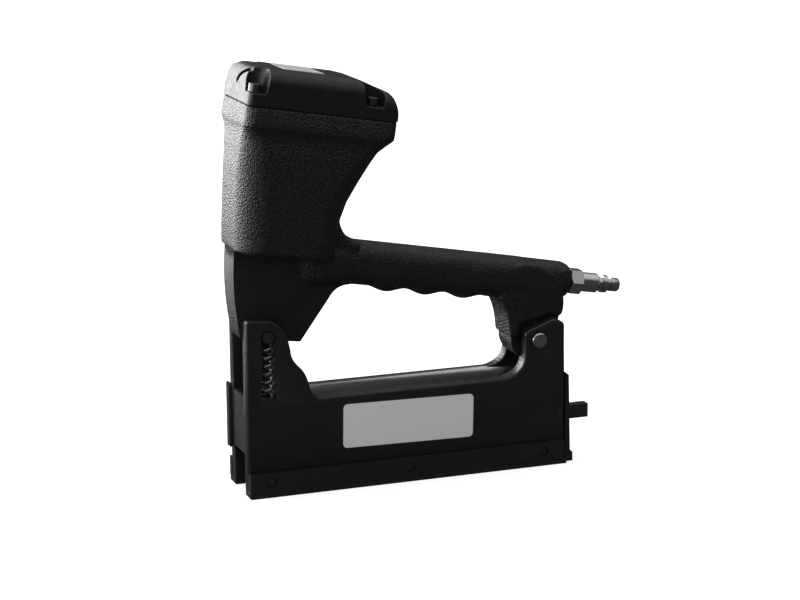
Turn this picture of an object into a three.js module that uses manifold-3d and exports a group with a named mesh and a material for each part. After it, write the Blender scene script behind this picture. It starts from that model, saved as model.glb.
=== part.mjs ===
// Hand held pneumatic clip tool, in millimetres.
// X runs from the nose to the air plug, +Z is up and Y = 0 is the plane of symmetry.
// The head swings about the hinge pin, so it is drawn level and then turned up to its rest angle.
// Names that end in share or shares hold parts of the sizes that they are used with.
import * as THREE from "three";
import { mergeVertices } from "three/addons/utils/BufferGeometryUtils.js";
import Module from "manifold-3d";

const wasm = await Module();
wasm.setup();

// Fits and cuts
const clearance = 0.3;
const overlap = 0.5; // how far joined solids run into each other
const overrun = 400; // how far a cutting solid runs past the face that it opens
const filmGap = 0.02; // under a stuck label
const weld = 1e-3; // vertices closer than this are one

// Hinge pin and its retaining ring
const pinX = 180.7;
const pinZ = 77.3;
const pinDiameter = 8;
const pinHeadDiameter = 9.3;
const pinHeadHeight = 2;
const pinHeadCrown = 1.1;
const pinTail = 4.2; // how far the pin stands out of the far wall
const pinChamfer = 0.8;
const ringThickness = 1.4;
const ringDiameter = 14;
const ringGrooveDepth = 0.8;
const ringMouth = 3.6;
const pinRadius = pinDiameter / 2;

// Magazine body: walls, deck and ears
const bodyWidth = 37.1;
const wallThickness = 8.4;
const bodyFront = 0.5;
const pinToRear = 17.3;
const deckTop = 55.75;
const deckThickness = 5;
const deckFront = 38;
const edgeRound = 1.6;
const footLipHeight = 2.7;
const footLipDepth = 3;
const frontEarTop = 105;
const frontEarFoot = 44.5;
const rearEarTop = 89.4;
const rearEarReach = 39; // from the foot of the ear to the rear end
const bodyRear = pinX + pinToRear;
const bodyHalf = bodyWidth / 2;
const channelHalf = bodyHalf - wallThickness;
const frontEarShares = [
  [[1, 0]],
  [[0.9, 0.013], [0.866, 0.076], [0.843, 0.178]],
  [[0.816, 0.279], [0.775, 0.338], [0.714, 0.393]],
  [[0.639, 0.46], [0.607, 0.513], [0.6, 0.594]],
  [[0.57, 0.722]],
  [[0.543, 0.825], [0.477, 0.911], [0.375, 0.955]],
  [[0.325, 0.98], [0.284, 0.988], [0.193, 0.988]],
  [[0.05, 1]],
  [[0, 0.957]],
];
const rearEarShares = [
  [[1, 0]],
  [[0.987, 0.863]],
  [[0.8, 1]],
  [[0.421, 0.845]],
  [[0.328, 0.804], [0.338, 0.706]],
  [[0.338, 0.423]],
  [[0.328, 0.186], [0.256, 0.049], [0, 0]],
];

// Slots of the front ears, with the lugs and return springs that run in them
const slotX = 13.4;
const slotWidth = 8.6;
const slotBottom = 57.2;
const slotTop = 98.2;
const lugDiameter = 7.2;
const lugPlay = 0.7; // under the round end of the slot
const lugShift = 0.35; // the lug hangs this far behind the middle of the slot
const lugStemDiameter = 4.6;
const lugWall = 1; // between the end of its stem and the blade
const lugSink = 0.6; // below the outer face of the ear
const springWire = 1.7;
const springDiameter = 7.7;
const springTurnCount = 7;
const curlSteps = 8;
const wireSides = 5;
const lugX = slotX + lugShift;
const lugZ = slotTop - lugPlay - lugDiameter / 2;
const springY = bodyHalf - wallThickness / 2;

// Wear bars and their screws
const railReach = 3.05; // from the wall to the outer face
const railThickness = 4.7;
const railBottom = 3;
const railTop = 14.7;
const railProud = 0.2; // in front of the walls
const railShort = 1.4; // from the rear end
const screwCount = 3;
const screwFirst = 13.2;
const screwLast = 13.4; // from the rear end of the bar
const screwZ = 8.6;
const screwHeadDiameter = 5.2;
const screwHeadHeight = 1.6;
const screwShankDiameter = 3.2;
const screwLength = 7.2;
const crossDepth = 0.9;
const crossArmShare = 0.3;
const crossSlotShare = 0.09;
const railOuter = bodyHalf + railReach;
const railInner = railOuter - railThickness;
const railRear = bodyRear - railShort;
const screwSpacing = (railRear - screwLast - screwFirst) / (screwCount - 1);

// Head, drawn level
const restAngle = THREE.MathUtils.degToRad(9.6);
const pressAngle = THREE.MathUtils.degToRad(7);
const partingZ = 196.8;
const cylinderX = 13;
const cylinderFloor = 124;
const sleeveRadius = 22.5;
const boreRadius = 20;
const driverStroke = 46;
const bladeX = 12;
const bladeThickness = 1.6;
const bladeWidth = 10;
const bladeRise = 1.6; // above the mouth of the nose, at rest
const bladePlay = 0.9;
const nosePlay = 0.25; // on each side, between the ears
const noseFront = -12.4;
const noseRear = 60;
const noseFloor = 62.4;
const noseTop = 122;
const noseRound = 0.3;
const lugBossRadius = 6.4;
const noseShares = [
  [[0.649, 0.017]],
  [[0.666, 0.02], [0.674, 0.05]],
  [[0.843, 0.463]],
  [[0.876, 0.554], [0.91, 0.601], [1, 0.619]],
  [[1, 1]],
  [[0, 1]],
  [[0.017, 0.631], [0.055, 0.362], [0.164, 0]],
];
const noseStartShares = [0.164, 0];
const bladeHalf = bladeWidth / 2;
const noseHalf = channelHalf - nosePlay;
const lugStemReach = noseHalf - bladeHalf - lugWall;

// Housing of the cylinder: level rings from the foot of the barrel to the parting face
const barrelFoot = 113;
const barrelFront = -12.2;
const barrelRear = 44;
const flangeFront = -20.6;
const flangeRear = 69;
const flangeHalf = 28.8;
const barrelCorner = 16;
const housingShares = [
  { height: 0, front: 0, rear: 0, half: 0.885, corner: 0.81 },
  { height: 0.03, front: 0.07, rear: 0.074, half: 0.958, corner: 0.94 },
  { height: 0.143, front: 0.24, rear: 0.089, half: 0.972, corner: 1 },
  { height: 0.292, front: 0.42, rear: 0.104, half: 0.972, corner: 1 },
  { height: 0.418, front: 0.56, rear: 0.2, half: 0.972, corner: 1 },
  { height: 0.561, front: 0.71, rear: 0.404, half: 0.972, corner: 1 },
  { height: 0.698, front: 0.8, rear: 0.6, half: 0.965, corner: 0.875 },
  { height: 0.776, front: 0.83, rear: 0.726, half: 0.944, corner: 0.75 },
  { height: 0.826, front: 0.88, rear: 0.859, half: 0.951, corner: 0.56 },
  { height: 0.871, front: 1, rear: 0.985, half: 1, corner: 0.44 },
  { height: 0.907, front: 1, rear: 1, half: 1, corner: 0.44 },
  { height: 1, front: 1, rear: 1, half: 0.951, corner: 0.375 },
];

// Grip: flat on top, finger waves below and an end that turns down to the hinge
const gripFront = 26;
const gripHalf = 13.5;
const gripTopFront = 124.5;
const gripFloor = 98.6;
const gripEndRadius = 24.4;
const gripEndZ = 98.6;
const gripEndBack = 13.2; // from the middle of the end arc to the hinge pin
const gripThroatDrop = 3.8;
const gripTailDrop = 1.4;
const waveFirst = 72;
const waveLast = 146;
const wavePitch = 24.2;
const waveDepth = 1.35;
const gripTailShare = 0.98;
const gripThroatShares = [[0, 1], [0.45, 0.75], [0.62, 0.25], [0.78, 0.02], [1, 0]];
const gripTailDropShares = [[0, 0.14], [0.31, 0.43], [1, 1]];
const gripHalfShares = [[0, 1.33], [0.1, 1.24], [0.17, 1.08], [0.23, 1], [0.81, 1], [1, 0.87]];
const gripTailStationShares = [0.11, 0.22, 0.33, 0.474, 0.573, 0.661, 0.749, 0.837, 0.914, 1];
const gripEndX = pinX - gripEndBack;
const gripRear = gripEndX + gripEndRadius * gripTailShare;

// Fillet between the grip and the housing
const neckFront = 38;
const neckRear = 62;
const neckFloor = 110;
const neckTop = 139;
const neckHalf = 13.4;
const neckRound = 3;
const neckShares = [
  [[1, 0]],
  [[1, 0.493]],
  [[0.708, 0.538], [0.442, 0.655], [0.392, 1]],
  [[0, 1]],
];

// Rear post round the hinge
const postFront = 30.7; // in front of the pin
const postRear = 15.3; // behind the pin
const postTop = 112;
const postRadius = 14.4;
const postShares = [
  [[0.054, 0.622]],
  [[0.133, 0.556]],
  [[0.22, 0.44], [0.28, 0.2], [0.34, 0]],
  [[0.937, 0]],
  [[0.977, 0.285]],
  [[1, 0.654]],
  [[0.833, 1]],
];
const postStartShares = [0, 0.827];

// Shoulder: the wide rear end of the grip, which stays outside the ears
const shoulderHalf = 12.8;
const shoulderRound = 2.2;
const shoulderRadius = 26.2;
const shoulderForward = 10.2; // from the hinge pin to the middle of its arc
const shoulderZ = 96.4;
const shoulderFoot = 75;
const shoulderRim = 100; // where its front leaves the grip
const shoulderStart = THREE.MathUtils.degToRad(115);
const shoulderShares = [
  [[1, 0.69], [0.98, 0.65], [0.9, 0.648]],
  [[0.835, 0.664]],
  [[0.503, 0.416]],
  [[0.426, 0.312]],
  [[0.435, 0.06]],
  [[0.32, 0.04]],
  [[0.276, 0.324]],
  [[0.23, 0.6], [0.18, 0.77], [0.09, 0.95]],
];

// Bushes of the hinge
const bushRadius = 6;

// Inlet boss, air passages and the valve opened by the swing of the head
const inletZ = 111.5;
const inletFront = 10.7; // in front of the hinge pin
const inletBack = 19.7; // from the hinge pin to the face of the boss
const inletRadius = 10.5;
const inletRound = 5;
const inletRoundShares = [[1, 0], [0.93, 0.38], [0.71, 0.71], [0.38, 0.93], [0, 1]];
const inletBoreRadius = 5.2;
const inletBoreDepth = 15.4;
const passageRadius = 4.6;
const riserX = 41;
const riserRadius = 3.4;
const valveBoreRadius = 3.6;
const valveBoreTop = 117;
const spoolTop = 104;
const spoolWaistBottom = 97;
const spoolWaistTop = 102;
const spoolWaistRadius = 1.8;
const spoolFootRadius = 1.4;
const spoolTaper = 2;
const spoolStep = 1;
const tripSpringRadius = 3;
const tripSpringWall = 0.8;
const bushLength = noseHalf - valveBoreRadius - clearance;
const inletRear = pinX + inletBack;

// Cylinder, piston and blade
const sleeveDrop = 2.2; // below the parting face
const bumperHeight = 8;
const bumperInset = 2;
const pistonDrop = 14.2; // from the parting face to its underside
const pistonHeight = 10;
const ringGrooveFloor = 4; // above the underside of the piston
const ringGrooveHeight = 2.4;
const ringGrooveReach = 2;
const ringFit = 0.1;
const bladeSocketDepth = 6;
const sleeveTop = partingZ - sleeveDrop;
const pistonFloor = partingZ - pistonDrop;

// Cover of the head, its screws and gasket
const capInset = 1.6; // from the side of the flange
const capHeight = 21.2; // above the parting face, as are the next two
const capRearHeight = 14;
const pocketHeight = 7.5;
const capSlopeStart = 43;
const slopeBlend = 3.5;
const capFrontRound = 8;
const capRearRound = 8;
const capCorner = 5;
const capEdgeRound = 9;
const capSkirt = 2; // the least straight side under the round edge
const capEndShares = [0.002, 0.045, 0.13, 0.29, 0.51, 0.78, 1];
const pocketRadius = 5.8;
const pocketInset = 6.6; // from the side of the cover
const pocketNearInset = 4; // from the front, on the left side
const pocketFarInset = 9;
const pocketRearInset = 16;
const pocketMouthShare = 0.97;
const grooveRadius = 27; // of the arc on the front of the cover
const grooveWidth = 1.4;
const grooveDepth = 4.1;
const grooveInset = 8.3; // from the side of the cover to the middle of the arc
const grooveDrop = 7.2; // from the parting face to the middle of the arc
const grooveEnd = 1.8; // past the plane of symmetry
const chamberRadius = 19;
const chamberRoof = 6;
const exhaustFront = 43;
const exhaustRear = 60;
const exhaustHalf = 14;
const exhaustRoof = 14;
const linkHalf = 6;
const capScrewRadius = 2;
const capScrewHeadRadius = 3.5;
const capScrewHeadHeight = 4.6;
const capScrewReach = 8.6; // below the parting face
const capSocketRadius = 1.7;
const capSocketDepth = 2.4;
const gasketThickness = 0.8;
const gasketInset = 3;
const mainValveLift = 3.8; // above the parting face
const mainValveHeight = 5;
const mainValveRadius = 17;
const mainValveSeatRadius = 6;
const mainValveSeatDepth = 2;
const mainSpringRadius = 5;
const mainSpringWall = 1;
const capLabelFront = 1.5;
const capLabelLength = 23.5;
const capLabelNear = 13.5;
const capLabelFar = 15;
const capLabelThickness = 0.35;
const capHalf = flangeHalf - capInset;
const capTop = partingZ + capHeight;
const capRearTop = partingZ + capRearHeight;
const pocketFloor = partingZ + pocketHeight;
const capScrewFoot = partingZ - capScrewReach;
const mainValveFloor = partingZ + mainValveLift;
const pocketRearX = flangeRear - pocketRearInset;

// Nose block between the front ears
const blockTop = 58.4;
const blockRear = 37.4;
const blockBottom = 24.6;
const clipWayFront = 5.4;

// Front guide plate on the edge of the right ear
const plateThickness = 1.6;
const plateBottom = 22;
const plateTop = 60.4;
const plateInner = 4.4; // from the channel, over the edge of the ear
const plateProud = 1.5; // past the outer face of the ear
const plateCorner = 1.6;

// Plate that closes the rear of the channel
const endPlateThickness = 3.3;
const endPlateTaper = 1.2;
const endPlateDrop = 0.6; // below the deck
const endPlateRise = 0.3; // above the underside
const endFootReach = 1.7;
const endFootTop = 5.6;
const openingPlay = 1;

// Feed rail with its pusher, clips and latch
const feedPlay = 1.1; // on each side, inside the clips
const feedBottom = 14;
const feedTop = 30.2;
const feedFront = 21;
const feedWall = 3;
const feedGrooveShare = 0.625;
const feedBridge = 8;
const feedBarReach = 22.2;
const feedBarShare = 0.5;
const feedBarBottom = 21.8;
const clipFront = 22;
const clipLength = 90;
const clipPlay = 1.15; // on each side, in the channel
const clipThickness = 1.5;
const followerLength = 16;
const followerCover = 2;
const followerLift = 4;
const tongueInset = 3;
const followerSpringShare = 0.85; // of the groove
const followerSpringWall = 1;
const windowInset = 4.4; // from the rear end to its front edge
const windowLength = 3.6;
const windowBottom = 27.3;
const windowTop = 35.6;
const latchSink = 0.6;
const latchTravel = 2;
const clipHalf = channelHalf - clipPlay;
const clipTop = feedTop + clearance + clipThickness;
const feedHalf = clipHalf - clipThickness - feedPlay;
const feedGrooveHalf = feedHalf * feedGrooveShare;
const feedBarHalf = feedHalf * feedBarShare;
const followerSpringRadius = feedGrooveHalf * followerSpringShare;
const windowFront = bodyRear - windowInset;

// Blank label of the near wall
const labelFront = 57.6;
const labelLength = 80.9;
const labelHeight = 26.2;
const labelMiddle = 36.5;
const labelThickness = 0.5;
const labelCorner = 2.6;
const labelTilt = THREE.MathUtils.degToRad(1.1);

// Quick-connect air plug
const hexagonFlats = 14.3;
const hexagonLength = 8.1;
const hexagonChamfer = 1.6;
const plugShoulder = 1; // between the boss and the hexagon
const plugThread = 10.6;
const plugTip = 0.8;
const plugRadius = 5.9;
const plugLength = 25.6;
const plugBore = 2.6;
const plugShares = [
  [1, 0.344],
  [0.88, 0.383],
  [0.66, 0.43],
  [0.66, 0.492],
  [0.915, 0.531],
  [0.915, 0.641],
  [0.745, 0.688],
  [0.61, 0.727],
  [0.61, 0.773],
  [0.712, 0.813],
  [0.712, 0.969],
  [0.627, 1],
];

// Round pieces get more sides the more they show
const fineSides = 40;
const roundSides = 28;
const smallSides = 16;
const cornerSteps = 6;
const curveSteps = 7;
const gripRingPoints = 20;
const gripPower = 3;

// Materials
function paint(color, roughness, metalness) {
  return new THREE.MeshStandardMaterial({ color, roughness, metalness });
}
const finishes = {
  casting: () => paint(0x1c1c20, 0.55, 0.1),
  cover: () => paint(0x202024, 0.45, 0.1),
  black: () => paint(0x18181b, 0.35, 0.2),
  oxide: () => paint(0x2c2d31, 0.4, 0.6),
  zinc: () => paint(0xb9bcc0, 0.3, 1),
  spring: () => paint(0x6d6f74, 0.3, 1),
  label: () => paint(0x8d8f92, 0.5, 0),
  steel: () => paint(0x9a9ca0, 0.35, 1),
  rubber: () => paint(0x121213, 0.8, 0),
  brass: () => paint(0xa8874a, 0.4, 1),
  alloy: () => paint(0xc2c4c6, 0.4, 0.9),
};

// Solids and their joins and cuts
function solid(geometry) {
  const plain = geometry.index ? geometry.toNonIndexed() : geometry.clone();
  plain.deleteAttribute("normal");
  plain.deleteAttribute("uv");
  const merged = mergeVertices(plain, weld);
  return new wasm.Manifold(
    new wasm.Mesh({
      numProp: 3,
      vertProperties: merged.attributes.position.array,
      triVerts: new Uint32Array(merged.index.array),
    }),
  );
}

function joined(first, ...others) {
  return others.reduce((whole, piece) => whole.add(piece), first);
}

function without(base, ...cutters) {
  return cutters.reduce((left, cutter) => left.subtract(cutter), base);
}

function geometryOf(body) {
  const made = body.getMesh();
  const geometry = new THREE.BufferGeometry();
  geometry.setAttribute("position", new THREE.BufferAttribute(made.vertProperties.slice(), 3));
  geometry.setIndex(new THREE.BufferAttribute(made.triVerts.slice(), 1));
  geometry.computeVertexNormals();
  return geometry;
}

function place(group, name, body, finish, position = [0, 0, 0]) {
  const mesh = new THREE.Mesh(geometryOf(body), finishes[finish]());
  mesh.name = name;
  mesh.position.set(...position);
  group.add(mesh);
  return mesh;
}

function between(low, high, share) {
  return low + (high - low) * share;
}

// The two ends of a stretch on one side of the middle plane, in rising order
function span(side, inner, outer) {
  return [side * inner, side * outer].sort((a, b) => a - b);
}

// A block between two corners
function block([x0, x1], [y0, y1], [z0, z1]) {
  const geometry = new THREE.BoxGeometry(x1 - x0, y1 - y0, z1 - z0);
  geometry.translate((x0 + x1) / 2, (y0 + y1) / 2, (z0 + z1) / 2);
  return solid(geometry);
}

function turnToAxis(geometry, axis) {
  if (axis === "x") geometry.rotateZ(-Math.PI / 2);
  if (axis === "z") geometry.rotateX(Math.PI / 2);
}

// A round bar along one axis, from one station to another
function bar(axis, radius, [from, to], centre = [0, 0, 0], sideCount = roundSides) {
  const geometry = new THREE.CylinderGeometry(radius, radius, to - from, sideCount);
  geometry.translate(0, (from + to) / 2, 0);
  turnToAxis(geometry, axis);
  geometry.translate(...centre);
  return solid(geometry);
}

// A turned piece from [radius, station] pairs along an axis, starting and ending on the axis
function turned(axis, profile, centre = [0, 0, 0], sideCount = roundSides) {
  const points = profile.map(([radius, station]) => new THREE.Vector2(radius, station));
  const geometry = new THREE.LatheGeometry(points, sideCount);
  turnToAxis(geometry, axis);
  geometry.translate(...centre);
  return solid(geometry);
}

// Lines and curves in shares of a box: one pair is a line, two or three pairs are a curve
function trace(shape, [x0, x1], [z0, z1], shares) {
  for (const pairs of shares) {
    const values = pairs.flatMap(([u, v]) => [between(x0, x1, u), between(z0, z1, v)]);
    if (pairs.length === 1) shape.lineTo(...values);
    if (pairs.length === 2) shape.quadraticCurveTo(...values);
    if (pairs.length === 3) shape.bezierCurveTo(...values);
  }
}

// A side outline given a width along Y and rounded edges
function slab(shape, [y0, y1], round = 0, steps = 2) {
  const geometry = new THREE.ExtrudeGeometry(shape, {
    depth: y1 - y0 - 2 * round,
    bevelEnabled: round > 0,
    bevelThickness: round,
    bevelSize: round,
    bevelOffset: -round,
    bevelSegments: steps,
    curveSegments: curveSteps,
  });
  geometry.rotateX(Math.PI / 2);
  geometry.translate(0, y1 - round, 0);
  return solid(geometry);
}

// Rings of points, each with the same count and running the same way round, closed by flat ends
function skinned(rings) {
  const count = rings[0].length;
  const faces = [];
  for (let ring = 0; ring + 1 < rings.length; ring += 1) {
    for (let k = 0; k < count; k += 1) {
      const a = ring * count + k;
      const b = ring * count + ((k + 1) % count);
      faces.push(a, b, a + count, b, b + count, a + count);
    }
  }
  const last = (rings.length - 1) * count;
  for (let k = 1; k + 1 < count; k += 1) {
    faces.push(0, k + 1, k);
    faces.push(last, last + k, last + k + 1);
  }
  const geometry = new THREE.BufferGeometry();
  geometry.setAttribute("position", new THREE.Float32BufferAttribute(rings.flat(2), 3));
  geometry.setIndex(faces);
  return solid(geometry);
}

// A level ring with rounded corners, for pieces built up along Z
function levelRing({ z, front, rear, half, corner }) {
  const centres = [
    [rear - corner, half - corner],
    [front + corner, half - corner],
    [front + corner, corner - half],
    [rear - corner, corner - half],
  ];
  return centres.flatMap(([x, y], quarter) =>
    Array.from({ length: cornerSteps + 1 }, (_, k) => {
      const angle = (quarter + k / cornerSteps) * (Math.PI / 2);
      return [x + corner * Math.cos(angle), y + corner * Math.sin(angle), z];
    }),
  );
}

// An upright ring, rounded as a superellipse, for pieces built up along X
function uprightRing({ x, top, bottom, half }) {
  const middle = (top + bottom) / 2;
  const height = (top - bottom) / 2;
  const bend = (value) => Math.sign(value) * Math.abs(value) ** (2 / gripPower);
  return Array.from({ length: gripRingPoints }, (_, k) => {
    const angle = (k / gripRingPoints) * 2 * Math.PI;
    return [x, half * bend(Math.cos(angle)), middle + height * bend(Math.sin(angle))];
  });
}

// The value at a station on straight lines between [station, value] pairs
function along(pairs, at) {
  const next = pairs.findIndex(([station]) => station >= at);
  if (next === 0) return pairs[0][1];
  if (next < 0) return pairs[pairs.length - 1][1];
  const [x0, v0] = pairs[next - 1];
  const [x1, v1] = pairs[next];
  return between(v0, v1, (at - x0) / (x1 - x0));
}

function stations(from, to, count) {
  return Array.from({ length: count + 1 }, (_, k) => between(from, to, k / count));
}

const sides = { left: -1, right: 1 };
const root = new THREE.Group();
root.name = "clip_tool";
const magazine = new THREE.Group();
root.add(magazine);

// A point of the magazine, seen in the level frame of the head
function levelPoint(x, z) {
  const point = new THREE.Vector3(x - pinX, 0, z - pinZ);
  point.applyAxisAngle(new THREE.Vector3(0, 1, 0), -restAngle);
  return { x: point.x + pinX, z: point.z + pinZ };
}

// A point of the level head, seen in the magazine with the head turned up by an angle
function magazinePoint(x, z, angle) {
  const point = new THREE.Vector3(x - pinX, 0, z - pinZ);
  point.applyAxisAngle(new THREE.Vector3(0, 1, 0), angle);
  return { x: point.x + pinX, z: point.z + pinZ };
}

// Magazine body: one casting, an upturned channel with two pairs of ears
function bodyOutline() {
  const shape = new THREE.Shape();
  shape.moveTo(bodyFront, 0);
  shape.lineTo(bodyRear, 0);
  trace(shape, [bodyRear - rearEarReach, bodyRear], [deckTop, rearEarTop], rearEarShares);
  trace(shape, [bodyFront, frontEarFoot], [deckTop, frontEarTop], frontEarShares);
  return shape;
}

// The slot of a front ear, open to both faces, with a flat seat for the spring
function springSlot(side) {
  const half = slotWidth / 2;
  const shape = new THREE.Shape();
  shape.moveTo(slotX - half, slotBottom);
  shape.lineTo(slotX + half, slotBottom);
  shape.lineTo(slotX + half, slotTop - half);
  shape.absarc(slotX, slotTop - half, half, 0, Math.PI, false);
  return slab(shape, span(side, channelHalf - overlap, overrun));
}

const screwPlaces = Array.from({ length: screwCount }, (_, k) => screwFirst + k * screwSpacing);
const screwFace = railOuter - clearance;

function railScrewBores(side) {
  const radius = screwShankDiameter / 2 + clearance;
  const depth = span(side, screwFace - screwLength - clearance, overrun);
  return screwPlaces.map((x) => bar("y", radius, depth, [x, 0, screwZ], smallSides));
}

function magazineBody() {
  const casting = slab(bodyOutline(), [-bodyHalf, bodyHalf], edgeRound);
  const channel = block(
    [-overrun, overrun],
    [-channelHalf, channelHalf],
    [-overrun, deckTop - deckThickness],
  );
  const frontGap = block(
    [-overrun, deckFront],
    [-channelHalf, channelHalf],
    [deckTop - deckThickness - overlap, overrun],
  );
  const rearGap = block([deckFront - overlap, overrun], [-channelHalf, channelHalf], [deckTop, overrun]);
  const pinBore = bar("y", pinRadius + clearance, [-overrun, overrun], [pinX, 0, pinZ]);
  let body = without(casting, channel, frontGap, rearGap, pinBore);
  for (const side of Object.values(sides)) {
    const recess = block(
      [-overrun, railRear + clearance],
      span(side, railInner - clearance, overrun),
      [footLipHeight, railTop + clearance],
    );
    const lip = block(
      [bodyFront, bodyRear],
      span(side, bodyHalf - footLipDepth, railOuter),
      [0, footLipHeight],
    );
    body = joined(without(body, recess), lip);
    body = without(body, springSlot(side), ...railScrewBores(side));
  }
  return without(body, latchWindow());
}

// Window of the near wall, where the latch tab shows
function latchWindow() {
  return block(
    [windowFront, windowFront + windowLength],
    [-overrun, overlap - channelHalf],
    [windowBottom, windowTop],
  );
}

place(magazine, "magazine_body", magazineBody(), "black");

// Nose block, with the throat of the driver blade and the way of the clips
function noseBlock() {
  const half = channelHalf - clearance;
  const bladeFloor = noseFloor + bladeRise;
  const restTip = magazinePoint(bladeX, bladeFloor - driverStroke, restAngle);
  const restTop = magazinePoint(bladeX, bladeFloor, restAngle);
  const firedTip = magazinePoint(bladeX, bladeFloor - driverStroke, restAngle - pressAngle);
  const firedTop = magazinePoint(bladeX, bladeFloor, restAngle - pressAngle);
  const play = bladeThickness / 2 + bladePlay;
  const blank = block([bodyFront, blockRear], [-half, half], [blockBottom, blockTop]);
  const funnel = block(
    [restTip.x - play, restTop.x + play],
    [-bladeHalf - 2 * bladePlay, bladeHalf + 2 * bladePlay],
    [restTip.z - play, overrun],
  );
  const throat = block(
    [firedTip.x - play, firedTop.x + play],
    [-bladeHalf - bladePlay, bladeHalf + bladePlay],
    [-overrun, overrun],
  );
  const clipWay = block([clipWayFront, overrun], [-overrun, overrun], [-overrun, clipTop + clearance]);
  return without(blank, funnel, throat, clipWay);
}

place(magazine, "nose_block", noseBlock(), "oxide");

function nosePlate() {
  const front = bodyFront - clearance - plateThickness;
  const inner = channelHalf + plateInner;
  const outer = bodyHalf + plateProud;
  const shape = new THREE.Shape();
  shape.moveTo(inner, plateBottom);
  shape.lineTo(outer, plateBottom);
  shape.lineTo(outer, plateTop);
  shape.lineTo(inner + plateCorner, plateTop);
  shape.lineTo(inner, plateTop - plateCorner);
  const plate = new THREE.ExtrudeGeometry(shape, { depth: plateThickness, bevelEnabled: false });
  plate.rotateX(Math.PI / 2);
  plate.rotateZ(Math.PI / 2);
  plate.translate(front, 0, 0);
  return solid(plate);
}

place(magazine, "nose_plate", nosePlate(), "oxide");

// Wear bars and their screws, each screw with a pan head and a cross recess
function wearBar(side) {
  const blank = block(
    [bodyFront - railProud, railRear],
    span(side, railInner, railOuter),
    [railBottom, railTop],
  );
  const seat = span(side, screwFace - screwHeadHeight - clearance, overrun);
  const seats = screwPlaces.map((x) =>
    bar("y", screwHeadDiameter / 2 + clearance, seat, [x, 0, screwZ]),
  );
  return without(blank, ...seats, ...railScrewBores(side));
}

function crossScrew(side) {
  const head = bar("y", screwHeadDiameter / 2, span(side, -screwHeadHeight, 0));
  const shank = span(side, -screwLength, overlap - screwHeadHeight);
  const arm = screwHeadDiameter * crossArmShare;
  const slot = screwHeadDiameter * crossSlotShare;
  const depth = span(side, -crossDepth, overrun);
  return without(
    joined(head, bar("y", screwShankDiameter / 2, shank, [0, 0, 0], smallSides)),
    block([-arm, arm], depth, [-slot, slot]),
    block([-slot, slot], depth, [-arm, arm]),
  );
}

for (const [name, side] of Object.entries(sides)) {
  place(magazine, `rail_${name}`, wearBar(side), "black");
  screwPlaces.forEach((x, k) => {
    const at = [x, side * screwFace, screwZ];
    place(magazine, `rail_screw_${name}_${k + 1}`, crossScrew(side), "black", at);
  });
}

// Rear end plate with a foot, open for all that the feed rail carries
const followerTop = feedTop + clearance + followerCover;

function endPlate() {
  const front = bodyRear + clearance;
  const rear = front + endPlateThickness;
  const top = deckTop - endPlateDrop;
  const shape = new THREE.Shape();
  shape.moveTo(front, endPlateRise);
  shape.lineTo(rear + endFootReach, endPlateRise);
  shape.lineTo(rear + endFootReach, endFootTop);
  shape.lineTo(rear, endFootTop + endFootReach);
  shape.lineTo(rear - endPlateTaper, top - endPlateTaper);
  shape.lineTo(rear - 2 * endPlateTaper, top);
  shape.lineTo(front, top);
  const opening = block(
    [-overrun, overrun],
    [-clipHalf - openingPlay, clipHalf + openingPlay],
    [feedBottom - 2 * openingPlay, followerTop + 2 * openingPlay],
  );
  return without(slab(shape, [-bodyHalf, bodyHalf]), opening);
}

place(magazine, "rear_end_plate", endPlate(), "black");

// Blank label, drawn about its own middle
function wallLabel() {
  const shape = new THREE.Shape();
  const x = labelLength / 2 - labelCorner;
  const z = labelHeight / 2 - labelCorner;
  const corners = [[x, z], [-x, z], [-x, -z], [x, -z]];
  corners.forEach(([cx, cz], quarter) => {
    const from = (quarter * Math.PI) / 2;
    shape.absarc(cx, cz, labelCorner, from, from + Math.PI / 2, false);
  });
  return slab(shape, [-labelThickness, 0]);
}

const labelPlace = [labelFront + labelLength / 2, -bodyHalf - filmGap, labelMiddle];
place(magazine, "label_plate", wallLabel(), "label", labelPlace).rotation.y = labelTilt;

// Hinge pin with a domed head on the near side, and its retaining ring on the far side
const ringSeat = bodyHalf + clearance;

function hingePin() {
  const head = -bodyHalf - clearance;
  const headRadius = pinHeadDiameter / 2;
  const neck = pinRadius - ringGrooveDepth;
  const grooveEnd = ringSeat + ringThickness + clearance;
  const end = bodyHalf + pinTail;
  return turned("y", [
    [0, head - pinHeadHeight],
    [headRadius - pinHeadCrown, head - pinHeadHeight],
    [headRadius, head - pinHeadHeight + pinHeadCrown],
    [headRadius, head],
    [pinRadius, head],
    [pinRadius, ringSeat - clearance],
    [neck, ringSeat - clearance],
    [neck, grooveEnd],
    [pinRadius, grooveEnd],
    [pinRadius, end - pinChamfer],
    [pinRadius - pinChamfer, end],
    [0, end],
  ]);
}

place(magazine, "pivot_pin", hingePin(), "zinc", [pinX, 0, pinZ]);

function retainingRing() {
  const hole = pinRadius - ringGrooveDepth + clearance;
  return without(
    bar("y", ringDiameter / 2, [0, ringThickness]),
    bar("y", hole, [-overrun, overrun]),
    block([-ringMouth / 2, ringMouth / 2], [-overrun, overrun], [-overrun, 0]),
  );
}

place(magazine, "pivot_ring", retainingRing(), "steel", [pinX, ringSeat, pinZ]);

// Return springs: one wire each, wound up the slot, with straight ends
const springLow = slotBottom + clearance + springWire;
const springHigh = lugZ - lugDiameter / 2 - clearance - springWire;
const springStepCount = springTurnCount * curlSteps;
const springRadius = (springDiameter - springWire) / 2;

function springPoint(k) {
  const angle = (k / curlSteps) * 2 * Math.PI;
  const height = between(springLow, springHigh, k / springStepCount);
  return new THREE.Vector3(springRadius * Math.cos(angle), springRadius * Math.sin(angle), height);
}

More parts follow.
